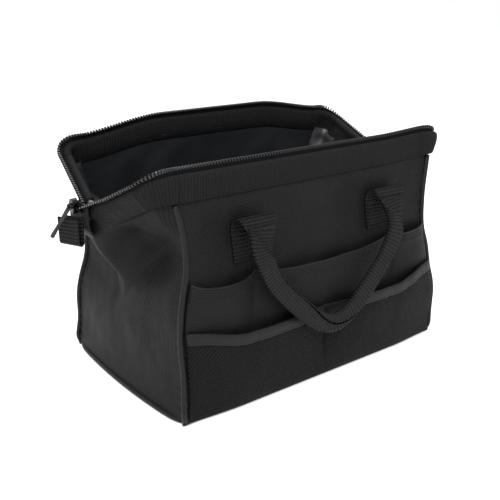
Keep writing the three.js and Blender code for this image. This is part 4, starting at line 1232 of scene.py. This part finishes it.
# %% Rows of the strap
def strap_rows(side):
    """Points of the strap, one row for each cross section from the left end to the right."""
    path = handle_path(side)
    lengths = [0.0]
    for a, b in zip(path, path[1:]):
        lengths.append(lengths[-1] + (b - a).length)
    across, rows = Vector((1, 0, 0)), []
    for k, point in enumerate(path):
        tangent = (path[min(k + 1, len(path) - 1)] - path[max(k - 1, 0)]).normalized()
        across = (across - tangent * across.dot(tangent)).normalized()
        out = tangent.cross(across) * -side
        flap = LEFT if lengths[k] < lengths[-1] / 2 else RIGHT
        near = min(lengths[k], lengths[-1] - lengths[k])
        folded = smoothstep(near, FOLD_START, FOLD_END)
        radius = lerp(CONE_RADIUS[flap], TUBE_RADIUS, smoothstep(near, FOLD_START, FOLD_END + 6))
        inward = clamp((near - FOLD_START) / (FOLD_END - FOLD_START))
        crease = lerp(STRAP_HALF + math.pi * radius / 2, 0, inward)
        opened = creased(crease, radius, flap)
        closed = flat_tube(lerp(0.1, 1, smoothstep(lengths[k] / lengths[-1], 0.36, 0.62)))
        shut = smoothstep(near, FOLD_END - 4, FOLD_END + 18)
        rise = radius * (1 - smoothstep(near, FOLD_START, FOLD_START + 14))
        row = []
        for w, (a0, n0), (a1, n1) in zip(STRAP_SAMPLES, opened, closed):
            pucker = 0.35 * math.sin(lengths[k] / 1.6) * math.exp(-(STRAP_HALF - abs(w)) / 2.5) * shut
            a, n = lerp(a0, a1, shut), lerp(n0 + rise, n1, shut) + pucker
            row.append(point + across * a + out * n)
        rows.append(row)
    return rows


# %% Handles
for side in (FRONT, BACK):
    name, wall = SIDE_NAME[side], SIDE_NAME[side] + "_wall"
    rows = strap_rows(side)
    columns, count = len(rows) - 1, len(rows[0]) - 1

    def strap(u, v):
        return rows[round(u * columns)][round(v * count)]

    piece = grid(name + "_handle_strap", strap, columns, count, [webbing], 1.6, 0.0)
    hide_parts(name + "_handle")
    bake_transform(piece)
    for end in (LEFT, RIGHT):
        def patch(u, v):
            z = lerp(135, 168, u)
            x = end * STRAP_X[end] + side * lerp(-STRAP_HALF, STRAP_HALF, v)
            return wall_point(side, x, z, 0.7 + 0.6 * smoothstep(z, 160, 168))
        cover = grid("_".join((name, END_NAME[end], "strap_patch")), patch, 24, 12, [webbing], 1.7, 1.0)
        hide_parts("_".join((name, END_NAME[end], "handle_patch")))
        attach(cover, wall)
        box = [(-16, 138), (16, 138), (16, 161), (-16, 161), (-16, 138)]
        path = []
        for (x0, z0), (x1, z1) in zip(box, box[1:]):
            for k in range(12):
                x, z = end * STRAP_X[end] + lerp(x0, x1, k / 12), lerp(z0, z1, k / 12)
                path.append(Vector(wall_point(side, x, z, 2.7)))
        thread = stitch_row("_".join((name, END_NAME[end], "box_stitch")), path, (0, side, 0))
        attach(thread, wall)
    print(name, "handle done")

# %% [markdown]
# ## Ends of the zip
# A cloth cover is sewn over each end hinge, and a tab of webbing hangs from it, to hold the bag by while
# the zip is pulled. Both are soft, so they are small sheets made in the same way as the large ones.

# %% Ends of the zip
COVER_FACE, COVER_TUCK, COVER_DROP, COVER_RISE, COVER_ROUND = 197, 11, 24, 12, 7
TAB_WIDTH, TAB_TURN, TAB_DROP, TAB_OUTER = 22, 25, 24, 2.3


def cover_point(end, across, z):
    """The cloth over the end hinge; z is the height above the hinge, and it tucks in below it."""
    below = clamp((-6 - z) / 18)
    soft = 0.5 * ripple(across * 18, z, end * 2.2, 7) * (1 - abs(across) ** 4)
    return Vector((end * (COVER_FACE - COVER_TUCK * below ** 2 - 1.2 * across ** 4 + soft), across * 18,
                   HINGE_HEIGHT + z))


for end in (LEFT, RIGHT):
    label = END_NAME[end]

    def cover_cloth(u, v):
        across = lerp(-1, 1, u) * end
        low = -COVER_DROP + COVER_ROUND * across ** 2
        return cover_point(end, across, lerp(low, COVER_RISE - 4 * across ** 2, v))

    piece = grid(label + "_hinge_cover", cover_cloth, 30, 30, [polyester], 1.5, -1.0)
    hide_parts(label + "_end_cover")
    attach(piece, "front_frame")

    turn = math.radians(TAB_TURN)
    out = Vector((end * math.cos(turn), -math.sin(turn), 0))
    wide = Vector((end * math.sin(turn), math.cos(turn), 0))
    reach = TAB_WIDTH / 2 * math.sin(turn) + TAB_OUTER * math.cos(turn)
    hang = Vector((end * (COVER_FACE + 0.3 + reach), 0, HINGE_HEIGHT - 1.8))

    def tab_loop(u, v):
        share, fold = lerp(-1, 1, u), 0.2
        if abs(share) > fold:
            fall = (1 - abs(share)) / (1 - fold)
            a, z = math.copysign(TAB_OUTER, share), -(TAB_DROP - TAB_OUTER) * fall
        else:
            angle = share / fold * math.pi / 2
            a, z = TAB_OUTER * math.sin(angle), -TAB_DROP + TAB_OUTER - TAB_OUTER * math.cos(angle)
        across = lerp(-TAB_WIDTH / 2, TAB_WIDTH / 2, v if end == RIGHT else 1 - v)
        return hang + out * a + wide * across + Vector((0, 0, z))

    piece = grid(label + "_tab_webbing", tab_loop, 40, 8, [webbing], 1.4, -1.0)
    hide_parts(label + "_tab")
    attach(piece, "front_frame")
    print("made the", label, "hinge's cover and tab")

# %% [markdown]
# ### Curled end
# The zip's tape runs out a little past the slider, and its cut end curls up beside it. It could be left
# out, but a loose end like this is what tells a used bag from a drawing, and it is only one small sheet.

# %% Curled zip end
def curl_surface(u, v):
    angle = lerp(-0.5, 1.35, u) * math.pi
    radius = lerp(4.2, 2.2, u)
    return (-196.5 + radius * math.sin(angle), lerp(-12, -5, v), 183.5 - radius * math.cos(angle))


curl = grid("left_zip_curl", curl_surface, 24, 4, [zip_tape], 1.0, 0.0)
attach(curl, "front_frame")
print("curl", len(curl.data.vertices), "points")

# %% [markdown]
# ## Bottom
# The bottom is a sheet of the same cloth, folded up into the walls all round. Its outline follows the
# bowed ends and the swollen pockets, so that no gap opens along the foot. The solids of metal and board
# have their real shapes already, so they are kept and get their finishes here.

# %% Bottom and kept solids
def base_cloth(u, v):
    """The bottom, bowed at the ends and swollen along the front as the walls are."""
    share = lerp(-1, 1, u)
    y = share * (FOOT_Y - 2.5)
    bow = END_BOW * (1 - share ** 2) - 6 * abs(share) ** 14
    side = FRONT if share < 0 else BACK
    x = lerp(-seam_x(LEFT, 3, side) - bow + 1, seam_x(RIGHT, 3, side) + bow - 1, v)
    return (x, y + side * foot_swell(side, x, 0) * abs(share) ** 6, 0.9)


piece = grid("bottom_cloth", base_cloth, 60, 90, [polyester, lining], 0.8, -1.0)
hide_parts("bottom_panel")
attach(piece, "base")

KEPT = {
    "base_board": board_plastic, "front_frame_wire": steel_wire, "back_frame_wire": steel_wire,
    "left_rivet": steel_wire, "right_rivet": steel_wire, "zip_slider": nickel, "zip_pull": nickel,
}
for node, finish in KEPT.items():
    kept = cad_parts[node]
    kept.data.materials.clear()
    kept.data.materials.append(finish)
print("kept solids:", ", ".join(KEPT))

# %% [markdown]
# ## Finish
# The size of the dressed bag is printed.

# %% Finish
low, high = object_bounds()
print("visual box", [round(c, 4) for c in low], [round(c, 4) for c in high])
